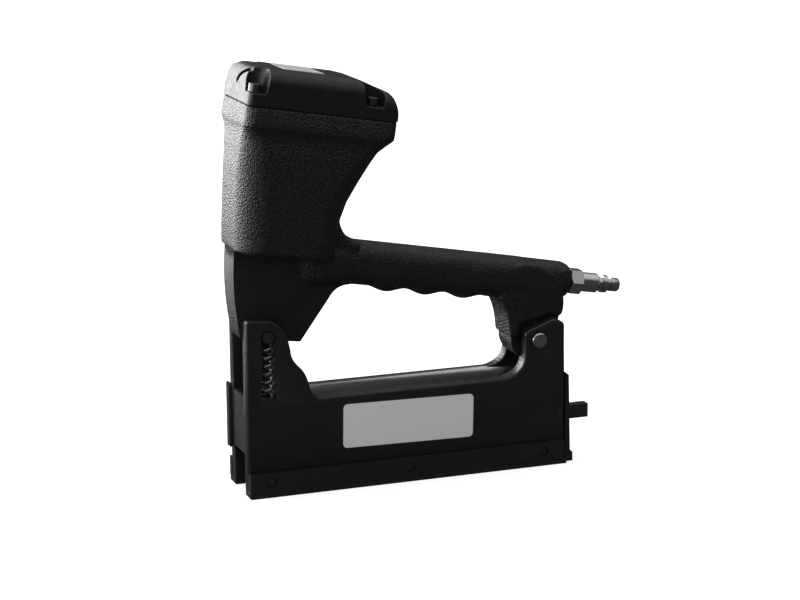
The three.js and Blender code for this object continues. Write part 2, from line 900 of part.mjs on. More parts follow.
// A ring of the wire, square to the way that the wire runs
function wireRing(centre, out, ahead) {
  const up = new THREE.Vector3().crossVectors(ahead, out);
  return Array.from({ length: wireSides }, (_, k) => {
    const angle = (k / wireSides) * 2 * Math.PI;
    const point = centre.clone();
    point.addScaledVector(out, (springWire / 2) * Math.cos(angle));
    point.addScaledVector(up, (springWire / 2) * Math.sin(angle));
    return point.toArray();
  });
}

function returnSpring() {
  const rise = (springHigh - springLow) / (springTurnCount * 2 * Math.PI * springRadius);
  const curls = Array.from({ length: springStepCount + 1 }, (_, k) => {
    const angle = (k / curlSteps) * 2 * Math.PI;
    const out = new THREE.Vector3(Math.cos(angle), Math.sin(angle), 0);
    const ahead = new THREE.Vector3(-Math.sin(angle), Math.cos(angle), rise).normalize();
    return wireRing(springPoint(k), out, ahead);
  });
  const out = new THREE.Vector3(1, 0, 0);
  const ahead = new THREE.Vector3(0, 0, 1);
  const end = (height) => wireRing(new THREE.Vector3(springRadius, 0, height), out, ahead);
  return skinned([end(springLow - springWire), ...curls, end(springHigh + springWire)]);
}

for (const [name, side] of Object.entries(sides)) {
  place(magazine, `return_spring_${name}`, returnSpring(), "spring", [slotX, side * springY, 0]);
}

// The least gap of a spring to itself, between points at least half a turn apart
function springGap() {
  const path = Array.from({ length: springStepCount + 1 }, (_, k) => springPoint(k));
  const gaps = path.flatMap((point, k) =>
    path.slice(k + curlSteps / 2).map((other) => point.distanceTo(other)),
  );
  return Math.min(...gaps) - springWire;
}

console.log("least gap of a return spring to itself, mm:", springGap().toFixed(2));

// Feed rail: a trough with the pusher spring, closed by an end bar that stands out at the rear
const grooveFloor = feedBottom + feedWall;
const grooveRear = bodyRear - feedBridge + overlap;

function feedRail() {
  const trough = block([feedFront, bodyRear + overlap], [-feedHalf, feedHalf], [feedBottom, feedTop]);
  const groove = block(
    [feedFront + feedWall, grooveRear],
    [-feedGrooveHalf, feedGrooveHalf],
    [grooveFloor, overrun],
  );
  const endBar = block(
    [bodyRear, bodyRear + feedBarReach],
    [-feedBarHalf, feedBarHalf],
    [feedBarBottom, feedTop],
  );
  return joined(without(trough, groove), endBar);
}

place(magazine, "feed_rail", feedRail(), "oxide");

// Strip of clips, bent over the rail
const clipRear = clipFront + clipLength;

function clipStick() {
  const outer = block([clipFront, clipRear], [-clipHalf, clipHalf], [feedBottom, clipTop]);
  const inner = block(
    [-overrun, overrun],
    [clipThickness - clipHalf, clipHalf - clipThickness],
    [0, feedTop + clearance],
  );
  return without(outer, inner);
}

place(magazine, "clip_stick", clipStick(), "steel");

// Pusher behind the clips, with a tongue down into the trough, and its spring
const followerFront = clipRear + clearance;
const followerRear = followerFront + followerLength;

function clipFollower() {
  const saddle = block(
    [followerFront, followerRear],
    [-clipHalf, clipHalf],
    [feedBottom + followerLift, followerTop],
  );
  const way = block(
    [-overrun, overrun],
    [-feedHalf - clearance, feedHalf + clearance],
    [0, feedTop + clearance],
  );
  const tongue = block(
    [followerFront + tongueInset, followerRear - tongueInset],
    [clearance - feedGrooveHalf, feedGrooveHalf - clearance],
    [grooveFloor + clearance, followerTop - overlap],
  );
  return joined(without(saddle, way), tongue);
}

place(magazine, "clip_follower", clipFollower(), "oxide");

function followerSpring() {
  const middle = [0, 0, grooveFloor + clearance + followerSpringRadius];
  const from = followerRear - tongueInset + clearance;
  const to = grooveRear - clearance;
  return without(
    bar("x", followerSpringRadius, [from, to], middle),
    bar("x", followerSpringRadius - followerSpringWall, [-overrun, overrun], middle),
  );
}

place(magazine, "follower_spring", followerSpring(), "spring");

// Latch tab of the near wall window, which stays clear of the clips when it is pressed in
function railLatch() {
  return block(
    [windowFront + clearance, windowFront + windowLength - clearance],
    [latchSink - bodyHalf, -clipHalf - clearance - latchTravel],
    [windowBottom + clearance, windowTop - clearance],
  );
}

place(magazine, "rail_latch", railLatch(), "oxide");

// The head hangs on the hinge pin and is turned up by its rest angle
const swing = new THREE.Group();
swing.position.set(pinX, 0, pinZ);
swing.rotation.y = restAngle;
root.add(swing);
const head = new THREE.Group();
head.position.set(-pinX, 0, -pinZ);
swing.add(head);

function housing() {
  return skinned(
    housingShares.map((share) =>
      levelRing({
        z: between(barrelFoot, partingZ, share.height),
        front: between(barrelFront, flangeFront, share.front),
        rear: between(barrelRear, flangeRear, share.rear),
        half: flangeHalf * share.half,
        corner: barrelCorner * share.corner,
      }),
    ),
  );
}

// A slab whose outline starts at one share pair of its box and follows the traced ones
function tracedSlab(xSpan, zSpan, start, shares, half, round) {
  const shape = new THREE.Shape();
  shape.moveTo(between(...xSpan, start[0]), between(...zSpan, start[1]));
  trace(shape, xSpan, zSpan, shares);
  return slab(shape, [-half, half], round);
}

// Nose below the barrel, with a straight rear face that slopes up to the grip
function nose() {
  return tracedSlab(
    [noseFront, noseRear],
    [noseFloor, noseTop],
    noseStartShares,
    noseShares,
    noseHalf,
    noseRound,
  );
}

// Boss round the lugs, at the foot of the nose
const lugAt = levelPoint(lugX, lugZ);

function lugBoss() {
  return bar("y", lugBossRadius, [-noseHalf, noseHalf], [lugAt.x, 0, lugAt.z]);
}

function gripTop(x) {
  if (x <= gripEndX) return along([[gripFront, gripTopFront], [gripEndX, gripEndZ + gripEndRadius]], x);
  return gripEndZ + Math.sqrt(gripEndRadius ** 2 - (x - gripEndX) ** 2);
}

function gripBottom(x) {
  if (x < waveFirst) {
    return gripFloor - gripThroatDrop * along(gripThroatShares, (x - gripFront) / (waveFirst - gripFront));
  }
  if (x > waveLast) {
    return gripFloor - gripTailDrop * along(gripTailDropShares, (x - waveLast) / (gripRear - waveLast));
  }
  const phase = ((x - waveFirst) / wavePitch) * 2 * Math.PI;
  return gripFloor - waveDepth + waveDepth * Math.cos(phase);
}

function grip() {
  const throatStations = stations(gripFront, waveFirst, curlSteps);
  const waveStations = stations(waveFirst, waveLast, 3 * curlSteps).slice(1);
  const tailStations = gripTailStationShares.map((share) => between(waveLast, gripRear, share));
  const rings = [...throatStations, ...waveStations, ...tailStations].map((x) => {
    const share = (x - gripFront) / (gripRear - gripFront);
    const half = gripHalf * along(gripHalfShares, share);
    return uprightRing({ x, top: gripTop(x), bottom: gripBottom(x), half });
  });
  return skinned(rings);
}

function neckFillet() {
  const xSpan = [neckFront, neckRear];
  return tracedSlab(xSpan, [neckFloor, neckTop], [0, 0], neckShares, neckHalf, neckRound);
}

// Rear post: narrow enough for the gap between the rear ears
function post() {
  const xSpan = [pinX - postFront, pinX + postRear];
  return joined(
    tracedSlab(xSpan, [pinZ, postTop], postStartShares, postShares, noseHalf, 0),
    bar("y", postRadius, [-noseHalf, noseHalf], [pinX, 0, pinZ], fineSides),
  );
}

function shoulder() {
  const middle = pinX - shoulderForward;
  const xSpan = [pinX - postFront, middle + shoulderRadius];
  const shape = new THREE.Shape();
  shape.moveTo(xSpan[0], shoulderRim);
  shape.absarc(middle, shoulderZ, shoulderRadius, shoulderStart, 0, true);
  trace(shape, xSpan, [shoulderFoot, shoulderRim], shoulderShares);
  return slab(shape, [-shoulderHalf, shoulderHalf], shoulderRound, 3);
}

// Boss that holds the air plug, rounded at its rear end
function inletBoss() {
  const rim = inletRoundShares.map(([out, back]) => [
    inletRadius - inletRound + inletRound * out,
    inletRear - inletRound + inletRound * back,
  ]);
  const front = pinX - inletFront;
  return turned("x", [[0, front], [inletRadius, front], ...rim, [0, inletRear]], [0, 0, inletZ], fineSides);
}

// Bores and passages of the casting
function bladeCut(gap, zSpan) {
  const half = bladeThickness / 2 + gap;
  return block([bladeX - half, bladeX + half], [-bladeHalf - gap, bladeHalf + gap], zSpan);
}

function headBores() {
  const bushBore = [pinX, 0, pinZ];
  return [
    bar("z", sleeveRadius + clearance, [cylinderFloor, overrun], [cylinderX, 0, 0], fineSides),
    bladeCut(clearance, [0, cylinderFloor + overlap]),
    bar("x", passageRadius, [riserX, overrun], [0, 0, inletZ], smallSides),
    bar("x", inletBoreRadius, [inletRear - inletBoreDepth, overrun], [0, 0, inletZ]),
    bar("z", riserRadius, [inletZ, overrun], [riserX, 0, 0], smallSides),
    bar("z", valveBoreRadius, [pinZ, valveBoreTop], [pinX, 0, 0], smallSides),
    bar("y", bushRadius + clearance, [-overrun, overrun], bushBore),
  ];
}

// Threaded holes for the lugs and for the cover screws
function lugBores() {
  const radius = lugStemDiameter / 2 + clearance;
  return Object.values(sides).map((side) =>
    bar("y", radius, span(side, noseHalf - lugStemReach, overrun), [lugAt.x, 0, lugAt.z], smallSides),
  );
}

const capScrewY = capHalf - pocketInset;
const capScrewPlaces = [
  { x: flangeFront + pocketNearInset, side: sides.left },
  { x: flangeFront + pocketFarInset, side: sides.right },
  { x: pocketRearX, side: sides.left },
  { x: pocketRearX, side: sides.right },
];

function capScrewBores() {
  const reach = [capScrewFoot - clearance, overrun];
  return capScrewPlaces.map(({ x, side }) =>
    bar("z", capScrewRadius + clearance, reach, [x, side * capScrewY, 0], smallSides),
  );
}

function headCasting() {
  const cast = joined(housing(), nose(), lugBoss(), grip(), neckFillet(), post(), shoulder(), inletBoss());
  return without(cast, ...headBores(), ...lugBores(), ...capScrewBores());
}

place(head, "head_casting", headCasting(), "casting");

// Lugs that run in the ear slots
function springLug(side) {
  const face = noseHalf + clearance;
  const stem = span(side, noseHalf - lugStemReach + clearance, face + overlap);
  return joined(
    bar("y", lugStemDiameter / 2, stem, [0, 0, 0], smallSides),
    bar("y", lugDiameter / 2, span(side, face, bodyHalf - lugSink)),
  );
}

for (const [name, side] of Object.entries(sides)) {
  place(head, `spring_lug_${name}`, springLug(side), "oxide", [lugAt.x, 0, lugAt.z]);
}

// Bushes of the hinge pin
for (const [name, side] of Object.entries(sides)) {
  const bush = without(
    bar("y", bushRadius, span(side, noseHalf - bushLength, noseHalf)),
    bar("y", pinRadius + clearance, [-overrun, overrun]),
  );
  place(head, `pivot_bushing_${name}`, bush, "brass", [pinX, 0, pinZ]);
}

// The valve rides above the hinge pin, with its spring above it
function tripSpool() {
  const foot = pinZ + pinRadius + clearance;
  const radius = valveBoreRadius - clearance;
  const profile = [
    [0, foot],
    [spoolFootRadius, foot],
    [radius, foot + spoolTaper],
    [radius, spoolWaistBottom],
    [spoolWaistRadius, spoolWaistBottom + spoolStep],
    [spoolWaistRadius, spoolWaistTop - spoolStep],
    [radius, spoolWaistTop],
    [radius, spoolTop],
    [0, spoolTop],
  ];
  return turned("z", profile, [0, 0, 0], smallSides);
}

place(head, "trip_valve_spool", tripSpool(), "brass", [pinX, 0, 0]);
const tripSpring = without(
  bar("z", tripSpringRadius, [spoolTop + clearance, valveBoreTop - clearance], [0, 0, 0], smallSides),
  bar("z", tripSpringRadius - tripSpringWall, [0, overrun], [0, 0, 0], smallSides),
);
place(head, "trip_valve_spring", tripSpring, "spring", [pinX, 0, 0]);

// Working cylinder
const sleeve = without(
  bar("z", sleeveRadius, [cylinderFloor + clearance, sleeveTop], [0, 0, 0], fineSides),
  bar("z", boreRadius, [0, overrun], [0, 0, 0], fineSides),
);
place(head, "cylinder_sleeve", sleeve, "alloy", [cylinderX, 0, 0]);

const bumperFloor = cylinderFloor + clearance;
const bumperSpan = [bumperFloor, bumperFloor + bumperHeight];
const bumperDisc = bar("z", boreRadius - bumperInset, bumperSpan, [cylinderX, 0, 0]);
place(head, "bumper", without(bumperDisc, bladeCut(2 * clearance, [0, overrun])), "rubber");

// Piston with its ring, and the blade pressed into it
const pistonRadius = boreRadius - clearance;
const pistonNeck = pistonRadius - ringGrooveReach;
const grooveLow = pistonFloor + ringGrooveFloor;
const grooveHigh = grooveLow + ringGrooveHeight;
const bladeTop = pistonFloor + bladeSocketDepth;

function piston() {
  const top = pistonFloor + pistonHeight;
  const body = turned(
    "z",
    [
      [0, pistonFloor],
      [pistonRadius, pistonFloor],
      [pistonRadius, grooveLow],
      [pistonNeck, grooveLow],
      [pistonNeck, grooveHigh],
      [pistonRadius, grooveHigh],
      [pistonRadius, top],
      [0, top],
    ],
    [cylinderX, 0, 0],
  );
  return without(body, bladeCut(clearance, [0, bladeTop + clearance]));
}

place(head, "piston", piston(), "alloy");

const pistonRing = without(
  bar("z", boreRadius - ringFit, [grooveLow + clearance, grooveHigh - clearance]),
  bar("z", pistonNeck + clearance, [0, overrun]),
);
place(head, "piston_ring", pistonRing, "rubber", [cylinderX, 0, 0]);
place(head, "driver_blade", bladeCut(0, [noseFloor + bladeRise, bladeTop]), "steel");

// Gasket between the casting and the cover, held in a step of the cover
const capFloor = partingZ + clearance;

function gasketBlank(low, high, gap) {
  const inset = gasketInset - gap;
  const front = flangeFront + inset;
  const rear = flangeRear - inset;
  const ring = { front, rear, half: capHalf - inset, corner: capCorner };
  return skinned([low, high].map((z) => levelRing({ ...ring, z })));
}

function gasket() {
  return without(
    gasketBlank(capFloor, capFloor + gasketThickness, 0),
    bar("z", chamberRadius, [0, overrun], [cylinderX, 0, 0]),
    bar("z", riserRadius, [0, overrun], [riserX, 0, 0], smallSides),
    ...capScrewBores(),
  );
}

place(head, "cap_gasket", gasket(), "rubber");

// Cover: upright sections from front to rear, rounded in plan and along the top edges
function roundDip(distance, round) {
  return distance < round ? round - Math.sqrt(round ** 2 - (round - distance) ** 2) : 0;
}

function capRing(x) {
  const fromFront = x - flangeFront;
  const fromRear = flangeRear - x;
  const slope = along([[capSlopeStart, capTop], [flangeRear, capRearTop]], x);
  const top = slope - roundDip(fromFront, capFrontRound) - roundDip(fromRear, capRearRound);
  const half = capHalf - roundDip(Math.min(fromFront, fromRear), capCorner);
  const round = Math.min(capEdgeRound, top - capFloor - capSkirt);
  const arc = stations(0, Math.PI / 2, cornerSteps - 1).map((angle) => [
    half - round + round * Math.cos(angle),
    top - round + round * Math.sin(angle),
  ]);
  const nearSide = arc.map(([y, z]) => [x, -y, z]).reverse();
  return [[x, half, capFloor], ...arc.map(([y, z]) => [x, y, z]), ...nearSide, [x, -half, capFloor]];
}

function capShell() {
  const ends = capEndShares.map((share) => share * capEdgeRound);
  const places = [
    ...ends.map((step) => flangeFront + step),
    capSlopeStart - slopeBlend,
    capSlopeStart + slopeBlend,
    ...ends.map((step) => flangeRear - step).reverse(),
  ];
  return skinned(places.map(capRing));
}

// Pockets of the four screws, open to the side
function capPockets() {
  const mouth = pocketRadius * pocketMouthShare;
  return capScrewPlaces.map(({ x, side }) => {
    const round = bar("z", pocketRadius, [pocketFloor, overrun], [x, side * capScrewY, 0]);
    const outward = span(side, capScrewY, overrun);
    return joined(round, block([x - mouth, x + mouth], outward, [pocketFloor, overrun]));
  });
}

// Groove that arches over the front of the cover to the left pocket
function frontGroove() {
  const middle = [0, sides.left * (capHalf - grooveInset), partingZ - grooveDrop];
  const reach = [flangeFront - overlap, flangeFront + grooveDepth];
  return without(
    bar("x", grooveRadius + grooveWidth / 2, reach, middle, fineSides),
    bar("x", grooveRadius - grooveWidth / 2, [-overrun, overrun], middle, fineSides),
    block([-overrun, overrun], [grooveEnd, overrun], [-overrun, overrun]),
    block([-overrun, overrun], [-overrun, middle[1]], [-overrun, overrun]),
    block([-overrun, overrun], [-overrun, overrun], [-overrun, middle[2]]),
  );
}

function headCap() {
  const exhaustTop = capTop - exhaustRoof;
  return without(
    capShell(),
    bar("z", chamberRadius, [0, capTop - chamberRoof], [cylinderX, 0, 0], fineSides),
    block([exhaustFront, exhaustRear], [-exhaustHalf, exhaustHalf], [0, exhaustTop]),
    block([cylinderX, exhaustFront + linkHalf], [-linkHalf, linkHalf], [0, exhaustTop]),
    gasketBlank(0, capFloor + gasketThickness + clearance, clearance),
    ...capPockets(),
    frontGroove(),
    ...capScrewBores(),
  );
}

place(head, "head_cap", headCap(), "cover");

// Screws of the cover, each with a hexagon socket
function capScrew() {
  const seat = pocketFloor + clearance;
  const top = seat + capScrewHeadHeight;
  return without(
    joined(
      bar("z", capScrewHeadRadius, [seat, top]),
      bar("z", capScrewRadius, [capScrewFoot, seat + overlap], [0, 0, 0], smallSides),
    ),
    bar("z", capSocketRadius, [top - capSocketDepth, overrun], [0, 0, 0], 6),
  );
}

capScrewPlaces.forEach(({ x, side }, k) => {
  place(head, `cap_screw_${k + 1}`, capScrew(), "zinc", [x, side * capScrewY, 0]);
});

// Valve above the cylinder and its spring
function mainValve() {
  const top = mainValveFloor + mainValveHeight;
  return turned("z", [
    [0, mainValveFloor],
    [mainValveRadius, mainValveFloor],
    [mainValveRadius, top],
    [mainValveSeatRadius, top],
    [mainValveSeatRadius, top - mainValveSeatDepth],
    [0, top - mainValveSeatDepth],
  ]);
}

place(head, "head_valve", mainValve(), "brass", [cylinderX, 0, 0]);
const mainSpringLow = mainValveFloor + mainValveHeight - mainValveSeatDepth + clearance;
const mainSpring = without(
  bar("z", mainSpringRadius, [mainSpringLow, capTop - chamberRoof - clearance]),
  bar("z", mainSpringRadius - mainSpringWall, [0, overrun]),
);
place(head, "head_valve_spring", mainSpring, "spring", [cylinderX, 0, 0]);

// Blank label on the flat of the cover
const capLabelFace = capTop + filmGap;
const capLabel = block(
  [capLabelFront, capLabelFront + capLabelLength],
  [-capLabelNear, capLabelFar],
  [capLabelFace, capLabelFace + capLabelThickness],
);
place(head, "cap_label", capLabel, "label");

// Air plug: thread, hexagon, body, neck, flange and nose, drawn from the face of the hexagon
function plugHexagon() {
  const radius = hexagonFlats / 2 / Math.cos(Math.PI / 6);
  const geometry = new THREE.CylinderGeometry(radius, radius, hexagonLength, 6);
  geometry.translate(0, hexagonLength / 2, 0);
  turnToAxis(geometry, "x");
  const small = radius - hexagonChamfer;
  const large = radius + hexagonChamfer;
  const chamfer = turned("x", [
    [0, -hexagonChamfer],
    [small - hexagonChamfer / 2, -hexagonChamfer],
    [large, hexagonChamfer],
    [large, hexagonLength - hexagonChamfer],
    [small - hexagonChamfer / 2, hexagonLength + hexagonChamfer],
    [0, hexagonLength + hexagonChamfer],
  ]);
  return solid(geometry).intersect(chamfer);
}

function airPlug() {
  const thread = inletBoreRadius - clearance;
  const stem = turned("x", [
    [0, -plugThread],
    [thread - plugTip, -plugThread],
    [thread, plugTip - plugThread],
    [thread, overlap],
    [plugRadius, overlap],
    ...plugShares.map(([radius, share]) => [plugRadius * radius, hexagonLength + plugLength * share]),
    [0, hexagonLength + plugLength],
  ]);
  const channel = bar("x", plugBore, [-overrun, overrun], [0, 0, 0], smallSides);
  return without(joined(plugHexagon(), stem), channel);
}

place(head, "air_plug", airPlug(), "zinc", [inletRear + plugShoulder, 0, inletZ]);

// The origin is the middle of the underside
root.updateMatrixWorld(true);
const extent = new THREE.Box3().setFromObject(root, true);
const middle = extent.getCenter(new THREE.Vector3());
root.position.set(-middle.x, 0, -extent.min.z);
root.updateMatrixWorld(true);

export default root;
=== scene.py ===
"""Looks of a hand held pneumatic clip tool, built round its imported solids.

Sizes are millimetres in the tool's own axes: X from the nose to the air plug, Z up, Y = 0 in the middle.
The head is drawn level and then turned up about its hinge pin.
"""

import math

import bmesh
import bpy
from mathutils import Matrix, Vector


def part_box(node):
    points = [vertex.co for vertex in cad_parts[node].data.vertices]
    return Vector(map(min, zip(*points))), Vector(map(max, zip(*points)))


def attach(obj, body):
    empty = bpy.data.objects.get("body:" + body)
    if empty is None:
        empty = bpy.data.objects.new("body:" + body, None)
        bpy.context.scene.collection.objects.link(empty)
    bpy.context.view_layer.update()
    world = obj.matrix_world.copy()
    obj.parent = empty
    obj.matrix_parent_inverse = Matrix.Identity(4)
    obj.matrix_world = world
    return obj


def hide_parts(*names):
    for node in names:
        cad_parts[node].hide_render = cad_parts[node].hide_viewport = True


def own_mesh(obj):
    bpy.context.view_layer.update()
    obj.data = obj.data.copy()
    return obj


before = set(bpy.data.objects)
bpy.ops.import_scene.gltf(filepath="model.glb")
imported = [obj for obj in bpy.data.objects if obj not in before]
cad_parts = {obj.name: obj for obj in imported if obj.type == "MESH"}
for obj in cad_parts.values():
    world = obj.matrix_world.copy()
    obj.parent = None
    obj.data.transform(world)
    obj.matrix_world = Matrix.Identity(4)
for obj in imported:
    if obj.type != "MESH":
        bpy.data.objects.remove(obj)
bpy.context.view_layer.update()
scene = bpy.context.scene

# ---------------------------------------------------------------- sizes
MM = 0.001
CLEARANCE = 0.3
PAST = 300  # how far a cutter runs past the face that it opens
SINK = 0.5  # how far joined forms run into each other

# Magazine body
BODY_FRONT, BODY_REAR = 0.5, 198
BODY_HALF, CHANNEL_HALF = 18.55, 10.15
DECK_TOP, DECK_THICKNESS, DECK_FRONT = 55.75, 5, 38
EDGE_ROUND = 1.6
LIP_HEIGHT, LIP_DEPTH = 2.7, 3
FRONT_EAR_TOP, FRONT_EAR_FOOT = 105, 44.5
REAR_EAR_TOP, REAR_EAR_REACH = 89.4, 39
FRONT_EAR_SHARES = [
    [(1, 0)],
    [(0.9, 0.013), (0.866, 0.076), (0.843, 0.178)],
    [(0.816, 0.279), (0.775, 0.338), (0.714, 0.393)],
    [(0.639, 0.46), (0.607, 0.513), (0.6, 0.594)],
    [(0.57, 0.722)],
    [(0.543, 0.825), (0.477, 0.911), (0.375, 0.955)],
    [(0.325, 0.98), (0.284, 0.988), (0.193, 0.988)],
    [(0.05, 1)],
    [(0.005, 0.998), (0, 0.957)],
]
REAR_EAR_SHARES = [
    [(1, 0)],
    [(0.987, 0.863)],
    [(0.98, 0.95), (0.8, 1)],
    [(0.421, 0.845)],
    [(0.328, 0.804), (0.338, 0.706)],
    [(0.338, 0.423)],
    [(0.328, 0.186), (0.256, 0.049), (0, 0)],
]
SLOT_X, SLOT_HALF, SLOT_BOTTOM, SLOT_TOP = 13.4, 4.3, 57.2, 98.2
WINDOW = (193.6, 197.2), (27.3, 35.6)

# Return springs and the lugs that press them
SPRING_WIRE, SPRING_DIAMETER, SPRING_TURNS, RETURN_SPRING_KEEP = 1.9, 7.7, 6, 0.37
LUG_RADIUS, LUG_X, LUG_Z, LUG_SINK = 3.6, 13.75, 93.9, 0.6
LUG_STUD_RADIUS, LUG_STUD_START, LUG_RIM = 2.3, 6.3, 0.5

# Inner coils: node, body, joint, axis, centre, ends (the one that moves first), diameter, wire, turns,
# and the share of the length that is left when squashed
INNER_COILS = (
    ("follower_spring", "feed", "follower_pull", "x", (0, 0, 20.7), (125.6, 190.2), 6.8, 0.8, 21, 0.303),
    ("head_valve_spring", "head", "main_valve_lift", "z", (13, 0, 0), (203.9, 211.7), 10, 0.9, 4, 0.615),
    ("trip_valve_spring", "head", "trip_valve_lift", "z", (180.7, 0, 0), (104.3, 116.7), 6, 0.8, 7, 0.798),
)

# Wear bars and their screws
RAIL_INNER, RAIL_OUTER, RAIL_TOP, RAIL_REAR = 16.9, 21.6, 14.7, 196.6
SCREW_X, SCREW_Z = (13.2, 98.2, 183.2), 8.6
SCREW_RADIUS, SCREW_HEAD, SCREW_CROWN, SCREW_CROWN_ARC = 2.6, 1.6, 0.75, math.radians(82)
SCREW_SHANK_RADIUS, SCREW_REACH = 1.6, 7.2
CROSS_ARM, CROSS_HALF, CROSS_DEPTH = 1.55, 0.26, 0.95

# Hinge
PIN_X, PIN_Z, PIN_RADIUS = 180.7, 77.3, 4
PIN_HEAD_RADIUS, PIN_HEAD_HEIGHT, PIN_TAIL, PIN_CHAMFER = 4.65, 2, 4.2, 0.8
PIN_CROWN = [  # radius, depth below the top of the head, from the dimple outwards
    (0.02, 0.55), (0.7, 0.3), (1.1, 0.12), (1.5, 0.03), (3.2, 0.1), (4.0, 0.3), (4.45, 0.6),
    (PIN_HEAD_RADIUS, 1),
]
RING_GROOVE_DEPTH, RING_GROOVE_WIDTH = 0.8, 1.7
REST_ANGLE = math.radians(9.6)

# Head, level
PARTING_Z = 196.8
NOSE_HALF = 9.9
NOSE_X, NOSE_Z = (-12.4, 60), (62.4, 122)
NOSE_START = (0.164, 0)
NOSE_SHARES = [
    [(0.649, 0.017)],
    [(0.666, 0.02), (0.674, 0.05)],
    [(0.843, 0.463)],
    [(0.876, 0.554), (0.91, 0.601), (1, 0.619)],
    [(1, 1)],
    [(0, 1)],
    [(0.017, 0.631), (0.055, 0.362), (0.164, 0)],
]
LUG_BOSS_RADIUS = 6.4
MACHINED_EDGE, FLANK_TOLERANCE = 0.35, 0.05
BARREL_FOOT, BARREL_CORNER = 113, 16
BARREL_X, FLANGE_X, FLANGE_HALF = (-12.2, 44), (-20.6, 69), 28.8
HOUSING_SHARES = [  # height, front, rear, half, corner
    (0, 0, 0, 0.885, 0.81),
    (0.03, 0.07, 0.074, 0.958, 0.94),
    (0.143, 0.24, 0.089, 0.972, 1),
    (0.292, 0.42, 0.104, 0.972, 1),
    (0.418, 0.56, 0.2, 0.972, 1),
    (0.561, 0.71, 0.404, 0.972, 1),
    (0.698, 0.8, 0.6, 0.965, 0.875),
    (0.776, 0.83, 0.726, 0.944, 0.75),
    (0.826, 0.88, 0.859, 0.951, 0.56),
    (0.871, 1, 0.985, 1, 0.44),
    (0.907, 1, 1, 1, 0.44),
    (1, 1, 1, 0.951, 0.375),
]
GRIP_FRONT, GRIP_HALF, GRIP_TOP, GRIP_FLOOR = 26, 13.5, 124.5, 98.6
GRIP_END_RADIUS, GRIP_END_X, GRIP_END_Z = 24.4, 167.5, 98.6
GRIP_REAR = GRIP_END_X + 0.98 * GRIP_END_RADIUS  # just short of the point where its end round closes
THROAT_DROP, TAIL_DROP = 3.8, 1.4
WAVE_FIRST, WAVE_LAST, WAVE_PITCH, WAVE_DEPTH = 72, 146, 24.2, 1.35
GRIP_POWER = 3
THROAT_SHARES = [(0, 1), (0.45, 0.75), (0.62, 0.25), (0.78, 0.02), (1, 0)]
TAIL_DROP_SHARES = [(0, 0.14), (0.31, 0.43), (1, 1)]
GRIP_HALF_SHARES = [
    (0, 0.62), (0.02, 0.76), (0.05, 1), (0.09, 1.14), (0.17, 1.08), (0.23, 1), (0.81, 1), (1, 0.87),
]
NECK_X, NECK_Z, NECK_HALF, NECK_ROUND = (38, 62), (110, 139), 13.4, 3
NECK_SHARES = [[(1, 0)], [(1, 0.493)], [(0.708, 0.538), (0.442, 0.655), (0.392, 1)], [(0, 1)]]
POST_X, POST_Z = (PIN_X - 30.7, PIN_X + 15.3), (PIN_Z, 112)
POST_START = (0, 0.827)
POST_SHARES = [
    [(0.054, 0.622)],
    [(0.133, 0.556)],
    [(0.22, 0.44), (0.28, 0.2), (0.34, 0)],
    [(0.937, 0)],
    [(0.977, 0.285)],
    [(1, 0.654)],
    [(0.833, 1)],
]
POST_RADIUS = 14.4

# Shoulder: the wide rear end of the grip, outside the ears
SHOULDER_HALF, SHOULDER_ROUND, SHOULDER_RADIUS, SHOULDER_RISE = 12.8, 2.4, 26.2, 25.3
SHOULDER_X, SHOULDER_Z, SHOULDER_START = 170.5, 96.4, math.radians(115)
SHOULDER_BOX = (PIN_X - 30.7, SHOULDER_X + SHOULDER_RADIUS), (75, 100)
SHOULDER_SHARES = [
    [(1, 0.69), (0.98, 0.65), (0.9, 0.648)],
    [(0.835, 0.664)],
    [(0.503, 0.416)],
    [(0.426, 0.312)],
    [(0.435, 0.06)],
    [(0.32, 0.04)],
    [(0.276, 0.324)],
    [(0.23, 0.6), (0.18, 0.77), (0.09, 0.95)],
]

# Rear end of the grip, which holds the air plug
INLET_X, INLET_Z, INLET_HALF = (150, 200.4), 111.5, 11.2
INLET_TOP, INLET_FLOOR, INLET_ROUND = (123.2, 122.3), 101.2, 5

# Cover of the head
CAP_FLOOR, CAP_TOP, CAP_REAR_TOP = 196.95, 218, 210.8
CAP_HALF, CAP_SLOPE, CAP_END_GAP = 27.2, 43, 0.01
CAP_FRONT_ROUND, CAP_REAR_ROUND, CAP_CORNER, CAP_EDGE_ROUND, CAP_SKIRT = 8, 8, 4, 9, 2
SLOPE_BLEND, SLOPE_BLEND_DROP = 3.5, 0.1
POCKET_INSET, POCKET_FLOOR = 6.6, 204.3
POCKETS = ((-16.6, -1), (-11.6, 1), (53, -1), (53, 1))  # place along X, side
POCKET_RADII, POCKET_HEIGHT = (5.3, 7.3), 15
GROOVE_RADII, GROOVE_DEPTH = (25.9, 28.1), 4.1
GROOVE_Y, GROOVE_Z, GROOVE_ARC = -18.9, 189.6, (math.radians(40), math.radians(97))
CAP_SCREW_RADIUS, CAP_SCREW_HEIGHT, CAP_SCREW_FOOT = 3.5, 4.6, 188.2
CAP_SHANK_RADIUS, CAP_SCREW_RIM = 2, 0.5
SOCKET_FLATS, SOCKET_DEPTH = 3, 2.4

# Bore for the cylinder and way for the blade
CYLINDER_X, SLEEVE_RADIUS, CYLINDER_FLOOR = 13, 22.5, 124
BLADE_X, BLADE_WAY = 12, (1.1, 5.3)  # place, half sizes along X and Y

